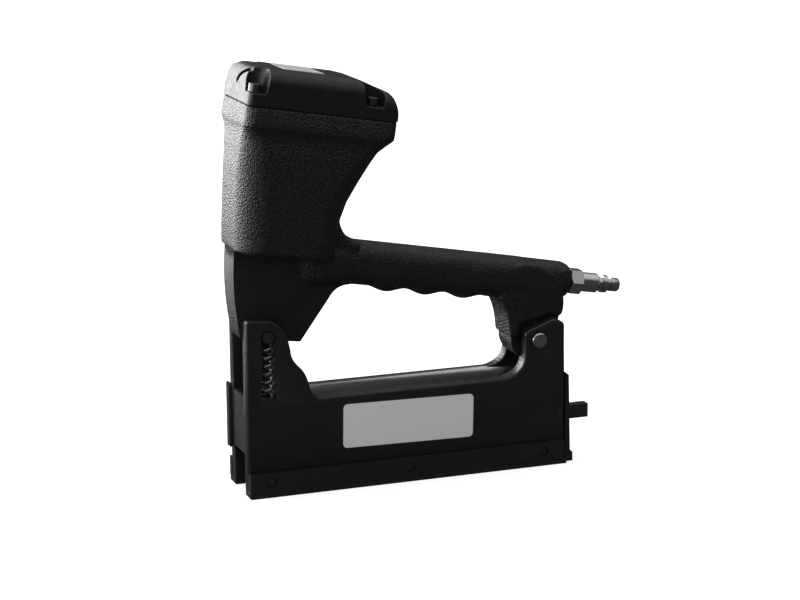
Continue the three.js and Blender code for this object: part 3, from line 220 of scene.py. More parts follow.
# Air plug, from the face of the hexagon
PLUG_X = INLET_X[1] + 1
HEXAGON_FLATS, HEXAGON_LENGTH = 14.3, 8.1
CHAMFER_DROP, CHAMFER_OVER, CHAMFER_RUN, CHAMFER_SLACK, CHAMFER_SIDES = 1.25, 0.3, 0.95, 0.01, 96
THREAD_RADIUS, THREAD_LENGTH = 4.9, 10.6
PLUG_RADIUS, PLUG_LENGTH, PLUG_BORE = 5.9, 25.6, 2.6
PLUG_SHARES = [  # radius, place along the plug behind the hexagon
    (1, 0.415), (0.92, 0.44), (0.68, 0.465), (0.62, 0.495), (0.68, 0.535), (0.92, 0.56), (0.92, 0.68),
    (0.78, 0.71), (0.58, 0.725), (0.58, 0.77), (0.71, 0.785), (0.71, 0.965), (0.63, 1),
]

# Fineness of the meshes
CAST_VOXEL, CAST_PASSES = 0.8, 3
COVER_VOXEL, COVER_PASSES = 0.55, 2
ROUND_SIDES, CURVE_STEPS, CORNER_STEPS, CROWN_STEPS = 64, 16, 14, 8
SPRING_STEPS, COIL_STEPS, COIL_SIDES = 32, 24, 8  # steps of a turn, sides of the wire
GRIP_STATIONS, GRIP_SIDES, INLET_STATIONS = 150, 72, 12

# ---------------------------------------------------------------- places
TOOL = Matrix.Translation((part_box("magazine_body")[0].x - BODY_FRONT * MM, 0, 0)) @ Matrix.Scale(MM, 4)
HINGE = Matrix.Translation((PIN_X, 0, PIN_Z))
LEVEL = TOOL @ HINGE @ Matrix.Rotation(REST_ANGLE, 4, "Y") @ HINGE.inverted()


def level_point(x, z):
    """A point of the magazine, seen in the level frame of the head."""
    point = LEVEL.inverted() @ (TOOL @ Vector((x, 0, z)))
    return point.x, point.z


def mix(low, high, share):
    return low + (high - low) * share


# ---------------------------------------------------------------- mesh tools
def new_object(name, vertices, faces, matrix):
    """A closed mesh with its faces turned outwards."""
    mesh = bpy.data.meshes.new(name)
    mesh.from_pydata([matrix @ Vector(v) for v in vertices], [], faces)
    shell = bmesh.new()
    shell.from_mesh(mesh)
    bmesh.ops.recalc_face_normals(shell, faces=shell.faces)
    shell.to_mesh(mesh)
    shell.free()
    piece = bpy.data.objects.new(name, mesh)
    scene.collection.objects.link(piece)
    return piece


def skin(name, rings, matrix, looped=False):
    """Rings of points joined in turn, with flat ends or, if looped, back to the first."""
    count = len(rings[0])
    faces = []
    for r in range(len(rings) if looped else len(rings) - 1):
        a, b = r * count, ((r + 1) % len(rings)) * count
        for k in range(count):
            n = (k + 1) % count
            faces.append((a + k, a + n, b + n, b + k))
    if not looped:
        faces.append(tuple(range(count)))
        faces.append(tuple(range((len(rings) - 1) * count, len(rings) * count)))
    return new_object(name, [p for ring in rings for p in ring], faces, matrix)


def block(name, xs, ys, zs, matrix):
    ring = [(xs[0], ys[0]), (xs[1], ys[0]), (xs[1], ys[1]), (xs[0], ys[1])]
    return skin(name, [[(x, y, z) for x, y in ring] for z in zs], matrix)


def curve(controls, share):
    """A point of a Bezier curve."""
    while len(controls) > 1:
        controls = [
            (mix(a[0], b[0], share), mix(a[1], b[1], share)) for a, b in zip(controls, controls[1:])
        ]
    return controls[0]


def trace(start, shares, xs, zs):
    """Outline points in shares of a box: one pair is a line, more pairs are a curve."""
    points = [start]
    for pairs in shares:
        controls = [points[-1]] + [(mix(*xs, u), mix(*zs, v)) for u, v in pairs]
        steps = CURVE_STEPS if len(pairs) > 1 else 1
        points += [curve(controls, (k + 1) / steps) for k in range(steps)]
    return points


def inset(points, distance):
    """An outline moved inwards by a distance, square to its sides."""
    area = sum(a[0] * b[1] - b[0] * a[1] for a, b in zip(points, points[1:] + points[:1]))
    turn = math.copysign(1, area)
    moved = []
    for before, here, after in zip(points[-1:] + points[:-1], points, points[1:] + points[:1]):
        normals = []
        for a, b in ((before, here), (here, after)):
            length = math.dist(a, b) or 1
            normals.append((-turn * (b[1] - a[1]) / length, turn * (b[0] - a[0]) / length))
        (ax, az), (bx, bz) = normals
        scale = distance / (1 + ax * bx + az * bz)
        moved.append((here[0] + (ax + bx) * scale, here[1] + (az + bz) * scale))
    return moved


def slab(name, points, ys, matrix, rounds=(0, 0), steps=6):
    """An (x, z) outline given a width along Y, with its two rims rounded."""
    rings = []
    for (y, way), radius in zip(((ys[0], 1), (ys[1], -1)), rounds):
        turns = [k / steps * math.pi / 2 for k in range(steps + 1)] if radius else [math.pi / 2]
        rims = [
            (y + way * radius * (1 - math.cos(t)), radius * (1 - math.sin(t))) for t in turns
        ]
        for station, depth in rims if way > 0 else reversed(rims):
            outline = inset(points, depth) if depth else points
            rings.append([(x, station, z) for x, z in outline])
    return skin(name, rings, matrix)


AXES = {
    "x": lambda r, a, s: (s, r * math.cos(a), r * math.sin(a)),
    "y": lambda r, a, s: (r * math.cos(a), s, r * math.sin(a)),
    "z": lambda r, a, s: (r * math.cos(a), r * math.sin(a), s),
}


def turned(name, axis, profile, centre, matrix, sides=ROUND_SIDES, looped=False):
    """A turned piece from (radius, station) pairs along an axis."""
    rings = [
        [
            tuple(Vector(centre) + Vector(AXES[axis](r, k / sides * math.tau, s)))
            for k in range(sides)
        ]
        for r, s in profile
    ]
    return skin(name, rings, matrix, looped)


def bar(name, axis, radius, span, centre, matrix, sides=ROUND_SIDES):
    return turned(name, axis, [(radius, span[0]), (radius, span[1])], centre, matrix, sides)


def rounded(radius, station, depth, way, steps=5):
    """(radius, station) pairs of a quarter round at the rim of a turned piece."""
    angles = [k / steps * math.pi / 2 for k in range(steps + 1)]
    return [
        (radius - depth * (1 - math.cos(a)), station + way * depth * (math.sin(a) - 1)) for a in angles
    ]


def tube(name, path, radius, matrix, sides=12):
    """A round wire along a path, with rings that don't twist."""
    side = Vector((1, 0, 0))
    rings = []
    for k, point in enumerate(path):
        ahead = (path[min(k + 1, len(path) - 1)] - path[max(k - 1, 0)]).normalized()
        side = (side - ahead * side.dot(ahead)).normalized()
        up = ahead.cross(side)
        rings.append(
            [
                tuple(point + radius * (side * math.cos(a) + up * math.sin(a)))
                for a in (s / sides * math.tau for s in range(sides))
            ]
        )
    return skin(name, rings, matrix)


def settle(piece):
    """Applies the modifiers of a piece to its mesh."""
    bpy.context.view_layer.update()
    shown = piece.evaluated_get(bpy.context.evaluated_depsgraph_get())
    mesh = bpy.data.meshes.new_from_object(shown)
    piece.modifiers.clear()
    old, piece.data = piece.data, mesh
    bpy.data.meshes.remove(old)
    return piece


def discard(piece):
    mesh = piece.data
    bpy.data.objects.remove(piece)
    bpy.data.meshes.remove(mesh)


def combine(piece, others, operation):
    """Adds other solids to a piece, or cuts them from it."""
    for other in others:
        change = piece.modifiers.new(operation.lower(), "BOOLEAN")
        change.operation = operation
        change.solver = "EXACT"
        change.object = other
    settle(piece)
    for other in others:
        discard(other)
    return piece


def cut(piece, *cutters):
    return combine(piece, cutters, "DIFFERENCE")


def melt(name, forms, voxel, passes):
    """Joins overlapping forms into one skin, with the small fillets of a casting."""
    joined = bmesh.new()
    for form in forms:
        joined.from_mesh(form.data)
        discard(form)
    mesh = bpy.data.meshes.new(name)
    joined.to_mesh(mesh)
    joined.free()
    piece = bpy.data.objects.new(name, mesh)
    scene.collection.objects.link(piece)
    remesh = piece.modifiers.new("remesh", "REMESH")
    remesh.mode = "VOXEL"
    remesh.voxel_size = voxel * MM
    smooth = piece.modifiers.new("smooth", "SMOOTH")
    smooth.iterations = passes
    return settle(piece)


def soften(piece, width, segments=2, angle=40):
    """Rounds the sharp edges of a flat-sided piece."""
    flat = piece.modifiers.new("flat", "DECIMATE")
    flat.decimate_type = "DISSOLVE"
    flat.angle_limit = math.radians(1)
    rim = piece.modifiers.new("rim", "BEVEL")
    rim.width = width * MM
    rim.segments = segments
    rim.limit_method = "ANGLE"
    rim.angle_limit = math.radians(angle)
    rim.harden_normals = True
    return piece


def smooth_by_angle(piece, angle=35):
    piece.data.shade_smooth()
    piece.data.set_sharp_from_angle(angle=math.radians(angle))


# ---------------------------------------------------------------- materials
class Nodes:
    """Short ways to add nodes to a tree."""

    def __init__(self, tree):
        self.tree = tree

    def feed(self, socket, value):
        """Links a socket to another, or sets its value."""
        if isinstance(value, bpy.types.NodeSocket):
            self.tree.links.new(value, socket)
        else:
            socket.default_value = value

    def node(self, kind, inputs=None, **settings):
        made = self.tree.nodes.new(kind)
        for key, value in settings.items():
            setattr(made, key, value)
        for key, value in (inputs or {}).items():
            self.feed(made.inputs[key], value)
        return made

    def spread(self, value, low, high, to=(0.0, 1.0)):
        """A value from low to high, stretched over another range."""
        inputs = {"Value": value, "From Min": low, "From Max": high, "To Min": to[0], "To Max": to[1]}
        return self.node("ShaderNodeMapRange", inputs).outputs["Result"]


class Finish(Nodes):
    """A node material with a Principled shader, built in steps."""

    def __init__(self, name, **sockets):
        self.material = bpy.data.materials.new(name)
        self.material.use_nodes = True
        super().__init__(self.material.node_tree)
        self.shader = self.tree.nodes["Principled BSDF"]
        for socket, value in sockets.items():
            self.shader.inputs[socket.replace("_", " ")].default_value = value
        self.place = self.node("ShaderNodeTexCoord").outputs["Object"]

    def stretched(self, scale):
        """Object coordinates stretched along the axes."""
        return self.node("ShaderNodeMapping", {"Vector": self.place, "Scale": scale}).outputs[0]

    def noise(self, grain, detail=2.0, roughness=0.5, vector=None):
        """Noise whose grains are about that many millimetres across."""
        inputs = {"Vector": vector or self.place, "Scale": 1 / (grain * MM)}
        inputs |= {"Detail": detail, "Roughness": roughness}
        return self.node("ShaderNodeTexNoise", inputs).outputs["Fac"]

    def cells(self, grain, smoothness=0.4):
        """Round beads about that many millimetres across."""
        inputs = {"Vector": self.place, "Scale": 1 / (grain * MM), "Smoothness": smoothness}
        made = self.node("ShaderNodeTexVoronoi", inputs, feature="SMOOTH_F1")
        return made.outputs["Distance"]

    def math(self, operation, first, second):
        made = self.node("ShaderNodeMath", operation=operation)
        for socket, value in zip(made.inputs, (first, second)):
            self.feed(socket, value)
        return made.outputs[0]

    def colour(self, fac, dark, light):
        """Base colour from dark to light along a value."""
        ramp = self.node("ShaderNodeValToRGB", {"Fac": fac})
        for stop, value in zip(ramp.color_ramp.elements, (dark, light)):
            stop.color = (*value, 1)
        self.tree.links.new(ramp.outputs["Color"], self.shader.inputs["Base Color"])

    def roughness(self, fac, low, high):
        self.tree.links.new(self.spread(fac, 0.3, 0.7, (low, high)), self.shader.inputs["Roughness"])

    def bump(self, height, distance):
        """Relief whose full height is that many millimetres."""
        inputs = {"Height": height, "Distance": distance * MM, "Strength": 1.0}
        made = self.node("ShaderNodeBump", inputs)
        self.tree.links.new(made.outputs["Normal"], self.shader.inputs["Normal"])


def crinkle_paint():
    """Black wrinkle paint: a grain of small hard beads."""
    finish = Finish("crinkle_paint", Specular_IOR_Level=0.55)
    grain = finish.cells(0.95)
    fine = finish.noise(0.8, 2)
    height = finish.math("ADD", grain, finish.math("MULTIPLY", fine, 0.6))
    finish.colour(finish.spread(height, 0.35, 0.95), (0.007, 0.007, 0.009), (0.002, 0.002, 0.0028))
    finish.roughness(fine, 0.26, 0.46)
    finish.bump(height, 0.5)
    return finish.material


def satin_paint(name, colour, roughness, peel=0.02):
    """Smooth black paint with a little orange peel and mottling."""
    finish = Finish(name, Specular_IOR_Level=0.5)
    cloud = finish.noise(9, 3)
    finish.colour(cloud, tuple(0.8 * c for c in colour), tuple(1.25 * c for c in colour))
    finish.roughness(finish.noise(3, 3), roughness - 0.05, roughness + 0.07)
    finish.bump(finish.noise(1.6, 2), peel)
    return finish.material


def metal(name, dark, light, roughness, stretch=(1, 1, 1), grain=1.2, peel=0.01, metallic=1.0):
    """Bare or plated metal with a fine drawn or rolled grain."""
    finish = Finish(name, Metallic=metallic)
    line = finish.noise(grain, 3, vector=finish.stretched(stretch))
    finish.colour(line, dark, light)
    finish.roughness(finish.noise(4, 3), roughness - 0.06, roughness + 0.08)
    finish.bump(line, peel)
    return finish.material


def rubber():
    finish = Finish("rubber", Specular_IOR_Level=0.35)
    speck = finish.noise(0.5, 2)
    finish.colour(speck, (0.008, 0.008, 0.008), (0.02, 0.02, 0.021))
    finish.roughness(finish.noise(3), 0.65, 0.85)
    finish.bump(speck, 0.03)
    return finish.material


def label_film(name, colour):
    """Blank matt film."""
    finish = Finish(name, Specular_IOR_Level=0.4)
    speck = finish.noise(0.35, 2)
    finish.colour(speck, tuple(0.91 * c for c in colour), tuple(1.09 * c for c in colour))
    finish.roughness(finish.noise(5, 3), 0.42, 0.55)
    finish.bump(speck, 0.008)
    return finish.material


MATERIALS = {
    "crinkle": crinkle_paint(),
    "flank": satin_paint("flank_paint", (0.004, 0.004, 0.005), 0.45),
    "cover": satin_paint("cover_paint", (0.0032, 0.0032, 0.004), 0.42),
    "black": satin_paint("black_paint", (0.0055, 0.0055, 0.0068), 0.36),
    "oxide": metal("oxide_steel", (0.03, 0.03, 0.033), (0.06, 0.06, 0.065), 0.4, metallic=0.8),
    "zinc": metal("zinc_plate", (0.5, 0.52, 0.49), (0.66, 0.68, 0.64), 0.17, (6, 1, 1)),
    "dull_zinc": metal("dull_zinc", (0.1, 0.1, 0.1), (0.17, 0.17, 0.165), 0.34),
    "spring": metal("spring_steel", (0.2, 0.2, 0.205), (0.34, 0.34, 0.345), 0.26),
    "steel": metal("bright_steel", (0.42, 0.43, 0.44), (0.56, 0.57, 0.58), 0.32, (1, 6, 1)),
    "brass": metal("brass", (0.5, 0.36, 0.15), (0.62, 0.46, 0.2), 0.32),
    "alloy": metal("alloy", (0.6, 0.61, 0.62), (0.72, 0.73, 0.74), 0.33, (1, 1, 8)),
    "rubber": rubber(),
    "label": label_film("label_film", (0.36, 0.362, 0.37)),
    "sticker": label_film("sticker_film", (0.4, 0.402, 0.41)),
}


def dress(piece, body, slot, material, *nodes):
    """Gives a piece its finish and its body, and hides the nodes that it stands for; its slot is not used."""
    piece.data.materials.clear()
    piece.data.materials.append(MATERIALS[material])
    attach(piece, body)
    if nodes:
        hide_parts(*nodes)
    return piece


def keep(node, material, width):
    """A node that stays gets its material and soft edges."""
    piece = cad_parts[node]
    piece.data.materials.clear()
    piece.data.materials.append(MATERIALS[material])
    if width:
        soften(piece, width)
    return piece


# ---------------------------------------------------------------- magazine
def body_outline():
    points = trace(
        (BODY_REAR, 0), REAR_EAR_SHARES, (BODY_REAR - REAR_EAR_REACH, BODY_REAR), (DECK_TOP, REAR_EAR_TOP)
    )
    points += trace(
        points.pop(), FRONT_EAR_SHARES, (BODY_FRONT, FRONT_EAR_FOOT), (DECK_TOP, FRONT_EAR_TOP)
    )
    return [(BODY_FRONT, 0)] + points


def side_span(side, inner, outer):
    return sorted((side * inner, side * outer))


def slot_cutter(side):
    arc = [k / CURVE_STEPS * math.pi for k in range(CURVE_STEPS + 1)]
    points = [(SLOT_X - SLOT_HALF, SLOT_BOTTOM), (SLOT_X + SLOT_HALF, SLOT_BOTTOM)]
    points += [
        (SLOT_X + SLOT_HALF * math.cos(a), SLOT_TOP - SLOT_HALF + SLOT_HALF * math.sin(a)) for a in arc
    ]
    return slab("slot", points, side_span(side, CHANNEL_HALF - SINK, PAST), TOOL)


def magazine_body():
    body = slab("magazine_casting", body_outline(), (-BODY_HALF, BODY_HALF), TOOL, (EDGE_ROUND, EDGE_ROUND))
    under = DECK_TOP - DECK_THICKNESS
    channel = (-CHANNEL_HALF, CHANNEL_HALF)
    cutters = [
        block("channel", (-PAST, PAST), channel, (-PAST, under), TOOL),
        block("front_gap", (-PAST, DECK_FRONT), channel, (under - SINK, PAST), TOOL),
        block("rear_gap", (DECK_FRONT - SINK, PAST), channel, (DECK_TOP, PAST), TOOL),
        bar("pin_bore", "y", PIN_RADIUS + CLEARANCE, (-PAST, PAST), (PIN_X, 0, PIN_Z), TOOL),
    ]
    lips = []
    for side in (-1, 1):
        rail = side_span(side, RAIL_INNER - CLEARANCE, PAST)
        recess = (LIP_HEIGHT, RAIL_TOP + CLEARANCE)
        cutters.append(block("recess", (-PAST, RAIL_REAR + CLEARANCE), rail, recess, TOOL))
        cutters.append(slot_cutter(side))
        lip = side_span(side, BODY_HALF - LIP_DEPTH, RAIL_OUTER)
        lips.append(block("lip", (BODY_FRONT, BODY_REAR), lip, (0, LIP_HEIGHT), TOOL))
    cutters.append(block("window", WINDOW[0], (-PAST, SINK - CHANNEL_HALF), WINDOW[1], TOOL))
    cut(body, *cutters)
    combine(body, lips, "UNION")
    soften(body, 0.3)
    settle(body)
    smooth_by_angle(body)
    return dress(body, "magazine", "black_paint", "black", "magazine_body")


def rail_screw(side, place, node):
    """A pan head with a cross recess and its shank."""
    face = RAIL_OUTER - CLEARANCE
    x, z = SCREW_X[place], SCREW_Z
    shank = side * (face - SCREW_REACH)
    seat = side * (face - SCREW_HEAD)
    crown = [
        (SCREW_RADIUS * math.cos(a), side * (face - SCREW_CROWN * (1 - math.sin(a))))
        for a in (k / CROWN_STEPS * SCREW_CROWN_ARC for k in range(CROWN_STEPS + 1))
    ]
    profile = [(SCREW_SHANK_RADIUS, shank), (SCREW_SHANK_RADIUS, seat), (SCREW_RADIUS, seat)] + crown
    screw = turned(node + "_head", "y", profile, (x, 0, z), TOOL)
    depth = side_span(side, face - CROSS_DEPTH, PAST)
    cut(
        screw,
        *(
            block("arm", (x - across, x + across), depth, (z - up, z + up), TOOL)
            for across, up in ((CROSS_ARM, CROSS_HALF), (CROSS_HALF, CROSS_ARM))
        ),
    )
    smooth_by_angle(screw)
    return dress(screw, "magazine", "black_paint", "oxide", node)


def hinge_pin():
    """Pin with a domed head that has a small dimple, and a groove for its ring."""
    face = -BODY_HALF - CLEARANCE
    top = face - PIN_HEAD_HEIGHT
    ring = BODY_HALF + CLEARANCE
    end = BODY_HALF + PIN_TAIL
    neck = PIN_RADIUS - RING_GROOVE_DEPTH
    profile = [(radius, top + depth) for radius, depth in PIN_CROWN] + [
        (PIN_HEAD_RADIUS, face), (PIN_RADIUS, face), (PIN_RADIUS, ring - CLEARANCE), (neck, ring - CLEARANCE),
        (neck, ring + RING_GROOVE_WIDTH), (PIN_RADIUS, ring + RING_GROOVE_WIDTH),
        (PIN_RADIUS, end - PIN_CHAMFER), (PIN_RADIUS - PIN_CHAMFER, end),
    ]
    pin = turned("hinge_pin", "y", profile, (PIN_X, 0, PIN_Z), TOOL)
    smooth_by_angle(pin, 50)
    return dress(pin, "magazine", "zinc", "zinc", "pivot_pin")


def wind(axis, centre, radius, ends, turns, steps):
    """Points of a coil from end to end along an axis."""
    return [
        Vector(centre) + Vector(AXES[axis](radius, t * math.tau, mix(*ends, t / turns)))
        for t in (k / steps for k in range(turns * steps + 1))
    ]


def return_spring(side, node):
    """One wire wound up the slot, with straight ends."""
    low = SLOT_BOTTOM + CLEARANCE + SPRING_WIRE
    high = LUG_Z - LUG_RADIUS - CLEARANCE - SPRING_WIRE
    radius = (SPRING_DIAMETER - SPRING_WIRE) / 2
    y = side * (BODY_HALF + CHANNEL_HALF) / 2
    coil = wind("z", (SLOT_X, y, 0), radius, (low, high), SPRING_TURNS, SPRING_STEPS)
    straight = Vector((0, 0, SPRING_WIRE))
    path = [coil[0] - straight] + coil + [coil[-1] + straight]
    spring = tube(node + "_wire", path, SPRING_WIRE / 2, TOOL)
    smooth_by_angle(spring, 60)
    dress(spring, "magazine", "spring_steel", "spring", node)
    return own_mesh(spring)


def inner_coil(node, body, joint, axis, centre, span, diameter, wire, turns, kept):
    """A coil between two stations along an axis of the magazine or the level head."""
    matrix = TOOL if axis == "x" else LEVEL
    ends = (span[0] + wire / 2, span[1] - wire / 2)
    path = wind(axis, centre, (diameter - wire) / 2, ends, turns, COIL_STEPS)
    coil = tube(node + "_wire", path, wire / 2, matrix, COIL_SIDES)
    smooth_by_angle(coil, 60)
    dress(coil, body, "spring_steel", "spring", node)
    anchor = matrix @ (Vector(centre) + Vector(AXES[axis](0, 0, span[1])))
    way = (matrix.to_3x3() @ Vector(AXES[axis](0, 0, 1))).normalized()
    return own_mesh(coil)


# ---------------------------------------------------------------- head
def along(pairs, at):
    """The value at a station on straight lines between (station, value) pairs."""
    if at <= pairs[0][0]:
        return pairs[0][1]
    for (x0, v0), (x1, v1) in zip(pairs, pairs[1:]):
        if at <= x1:
            return mix(v0, v1, (at - x0) / (x1 - x0))
    return pairs[-1][1]


def level_ring(z, xs, half, corner):
    """A level rectangle with rounded corners."""
    front, rear = xs
    centres = [
        (rear - corner, half - corner), (front + corner, half - corner),
        (front + corner, corner - half), (rear - corner, corner - half),
    ]
    ring = []
    for quarter, (x, y) in enumerate(centres):
        for k in range(CORNER_STEPS + 1):
            angle = (quarter + k / CORNER_STEPS) * math.pi / 2
            ring.append((x + corner * math.cos(angle), y + corner * math.sin(angle), z))
    return ring


def housing():
    rings = [
        level_ring(
            mix(BARREL_FOOT, PARTING_Z, height),
            (mix(BARREL_X[0], FLANGE_X[0], front), mix(BARREL_X[1], FLANGE_X[1], rear)),
            FLANGE_HALF * half,
            BARREL_CORNER * corner,
        )
        for height, front, rear, half, corner in HOUSING_SHARES
    ]
    return skin("housing", rings, LEVEL)


def grip_top(x):
    if x <= GRIP_END_X:
        return along([(GRIP_FRONT, GRIP_TOP), (GRIP_END_X, GRIP_END_Z + GRIP_END_RADIUS)], x)
    return GRIP_END_Z + math.sqrt(GRIP_END_RADIUS**2 - (x - GRIP_END_X) ** 2)


def grip_bottom(x):
    if x < WAVE_FIRST:
        return GRIP_FLOOR - THROAT_DROP * along(THROAT_SHARES, (x - GRIP_FRONT) / (WAVE_FIRST - GRIP_FRONT))
    if x > WAVE_LAST:
        return GRIP_FLOOR - TAIL_DROP * along(TAIL_DROP_SHARES, (x - WAVE_LAST) / (GRIP_REAR - WAVE_LAST))
    return GRIP_FLOOR - WAVE_DEPTH * (1 - math.cos((x - WAVE_FIRST) / WAVE_PITCH * math.tau))


def bend(value):
    """Swells a sine or cosine, so that a round becomes boxier."""
    return math.copysign(abs(value) ** (2 / GRIP_POWER), value)


def grip_ring(x, half, top, bottom):
    """A section between a round and a box."""
    middle, reach = (top + bottom) / 2, (top - bottom) / 2
    return [
        (x, half * bend(math.cos(a)), middle + reach * bend(math.sin(a)))
        for a in (k / GRIP_SIDES * math.tau for k in range(GRIP_SIDES))
    ]


def grip():
    rings = []
    for k in range(GRIP_STATIONS + 1):
        share = k / GRIP_STATIONS
        x = mix(GRIP_FRONT, GRIP_REAR, share)
        half = GRIP_HALF * along(GRIP_HALF_SHARES, share)
        rings.append(grip_ring(x, half, grip_top(x), grip_bottom(x)))
    return skin("grip", rings, LEVEL)


def inlet_boss():
    """The rear end of the grip, which holds the air plug."""
    front, rear = INLET_X
    stations = [(front, 0)] + [
        (rear - INLET_ROUND * (1 - math.sin(a)), INLET_ROUND * (1 - math.cos(a)))
        for a in (k / INLET_STATIONS * math.pi / 2 for k in range(INLET_STATIONS + 1))
    ]
    rings = []
    for x, dip in stations:
        top = mix(*INLET_TOP, (x - front) / (rear - front))
        rings.append(grip_ring(x, INLET_HALF - dip, top - dip, INLET_FLOOR + dip))
    return skin("inlet", rings, LEVEL)


def traced_slab(name, xs, zs, start, shares, half, radius=0):
    points = trace((mix(*xs, start[0]), mix(*zs, start[1])), shares, xs, zs)
    if math.dist(points[0], points[-1]) < 1e-6:
        points.pop()
    return slab(name, points, (-half, half), LEVEL, (radius, radius))


def shoulder():
    count = 2 * CURVE_STEPS
    arc = [mix(SHOULDER_START, 0, k / count) for k in range(count + 1)]
    points = [
        (SHOULDER_X + SHOULDER_RADIUS * math.cos(a), SHOULDER_Z + SHOULDER_RISE * math.sin(a)) for a in arc
    ]
    points += trace(points.pop(), SHOULDER_SHARES, *SHOULDER_BOX)
    width = (-SHOULDER_HALF, SHOULDER_HALF)
    return slab("shoulder", points, width, LEVEL, (SHOULDER_ROUND, SHOULDER_ROUND))


def round_forms():
    """The soft forms of the head, each running into the next."""
    return [
        housing(),
        grip(),
        traced_slab("neck", NECK_X, NECK_Z, (0, 0), NECK_SHARES, NECK_HALF, NECK_ROUND),
        shoulder(),
        inlet_boss(),
    ]


def machined_forms():
    """The flat sided nose and post, which run between the ears."""
    lug = level_point(LUG_X, LUG_Z)
    width = (-NOSE_HALF, NOSE_HALF)
    nose = traced_slab("nose", NOSE_X, NOSE_Z, NOSE_START, NOSE_SHARES, NOSE_HALF)
    combine(nose, [bar("lug_boss", "y", LUG_BOSS_RADIUS, width, (lug[0], 0, lug[1]), LEVEL)], "UNION")
    post = traced_slab("post", POST_X, POST_Z, POST_START, POST_SHARES, NOSE_HALF)
    combine(post, [bar("post_end", "y", POST_RADIUS, width, (PIN_X, 0, PIN_Z), LEVEL)], "UNION")
    return [settle(soften(form, MACHINED_EDGE)) for form in (nose, post)]


def head_casting():
    """The whole casting, with crinkle paint but for the flanks of the nose and the post."""
    casting = melt("head_shell", round_forms(), CAST_VOXEL, CAST_PASSES)
    combine(casting, machined_forms(), "UNION")
    along_x, along_y = BLADE_WAY
    way = (BLADE_X - along_x, BLADE_X + along_x), (-along_y, along_y), (0, CYLINDER_FLOOR + SINK)
    cut(
        casting,
        bar("bore", "z", SLEEVE_RADIUS + CLEARANCE, (CYLINDER_FLOOR, PAST), (CYLINDER_X, 0, 0), LEVEL),
        block("blade_way", *way, LEVEL),
    )
    smooth_by_angle(casting)
    dress(casting, "head", "crinkle_casting", "crinkle", "head_casting")
    casting.data.materials.append(MATERIALS["flank"])
    level = LEVEL.inverted()
    for face in casting.data.polygons:
        if abs(abs((level @ face.center).y) - NOSE_HALF) < FLANK_TOLERANCE:
            face.material_index = 1
    return casting


# ---------------------------------------------------------------- cover
def round_dip(distance, radius):
    """How far a rounded edge drops at a distance from its end."""
    return radius - math.sqrt(radius**2 - (radius - distance) ** 2) if distance < radius else 0


def cap_ring(x):
    """A section of the cover across the tool."""
    from_front, from_rear = x - FLANGE_X[0], FLANGE_X[1] - x
    ridge = [
        (CAP_SLOPE - SLOPE_BLEND, CAP_TOP),
        (CAP_SLOPE + SLOPE_BLEND, mix(CAP_TOP, CAP_REAR_TOP, SLOPE_BLEND_DROP)),
        (FLANGE_X[1], CAP_REAR_TOP),
    ]
    top = along(ridge, x) - round_dip(from_front, CAP_FRONT_ROUND) - round_dip(from_rear, CAP_REAR_ROUND)
    half = CAP_HALF - round_dip(min(from_front, from_rear), CAP_CORNER)
    radius = min(CAP_EDGE_ROUND, top - CAP_FLOOR - CAP_SKIRT)
    arc = [
        (half - radius + radius * math.cos(a), top - radius + radius * math.sin(a))
        for a in (k / CORNER_STEPS * math.pi / 2 for k in range(CORNER_STEPS + 1))
    ]
    far = [(half, CAP_FLOOR)] + arc
    return [(x, y, z) for y, z in far] + [(x, -y, z) for y, z in reversed(far)]


def cap_places():
    return [(x, side * (CAP_HALF - POCKET_INSET)) for x, side in POCKETS]


def pocket_cutter(x, y):
    """A pocket round a screw, open to the side and wider at the top."""
    rings = []
    for radius, z in zip(POCKET_RADII, (POCKET_FLOOR, POCKET_FLOOR + POCKET_HEIGHT)):
        arc = [k / CURVE_STEPS * math.pi for k in range(CURVE_STEPS + 1)]
        ring = [(x + radius * math.cos(a), y - math.copysign(radius, y) * math.sin(a), z) for a in arc]
        mouth = math.copysign(PAST, y)
        rings.append(ring + [(x - radius, mouth, z), (x + radius, mouth, z)])
    return skin("pocket", rings, LEVEL)


def front_groove():
    """The groove that arches over the front to the near pocket."""
    front, rear = FLANGE_X[0] - SINK, FLANGE_X[0] + GROOVE_DEPTH
    inner, outer = GROOVE_RADII
    rings = []
    for k in range(CURVE_STEPS + 1):
        a = mix(*GROOVE_ARC, k / CURVE_STEPS)
        section = [(inner, front), (outer, front), (outer, rear), (inner, rear)]
        rings.append([(x, GROOVE_Y + r * math.cos(a), GROOVE_Z + r * math.sin(a)) for r, x in section])
    return skin("groove", rings, LEVEL)


def head_cap():
    turns = [k / CORNER_STEPS * math.pi / 2 for k in range(CORNER_STEPS + 1)]
    ends = [CAP_EDGE_ROUND * (1 - math.cos(a)) + CAP_END_GAP for a in turns]
    stations = [FLANGE_X[0] + e for e in ends] + [CAP_SLOPE - SLOPE_BLEND, CAP_SLOPE + SLOPE_BLEND]
    stations += [FLANGE_X[1] - e for e in reversed(ends)]
    shell = skin("cover_shell", [cap_ring(x) for x in stations], LEVEL)
    cut(shell, front_groove(), *(pocket_cutter(x, y) for x, y in cap_places()))
    cap = melt("head_cover", [shell], COVER_VOXEL, COVER_PASSES)
    cap.data.shade_smooth()
    return dress(cap, "head", "cover", "cover", "head_cap")


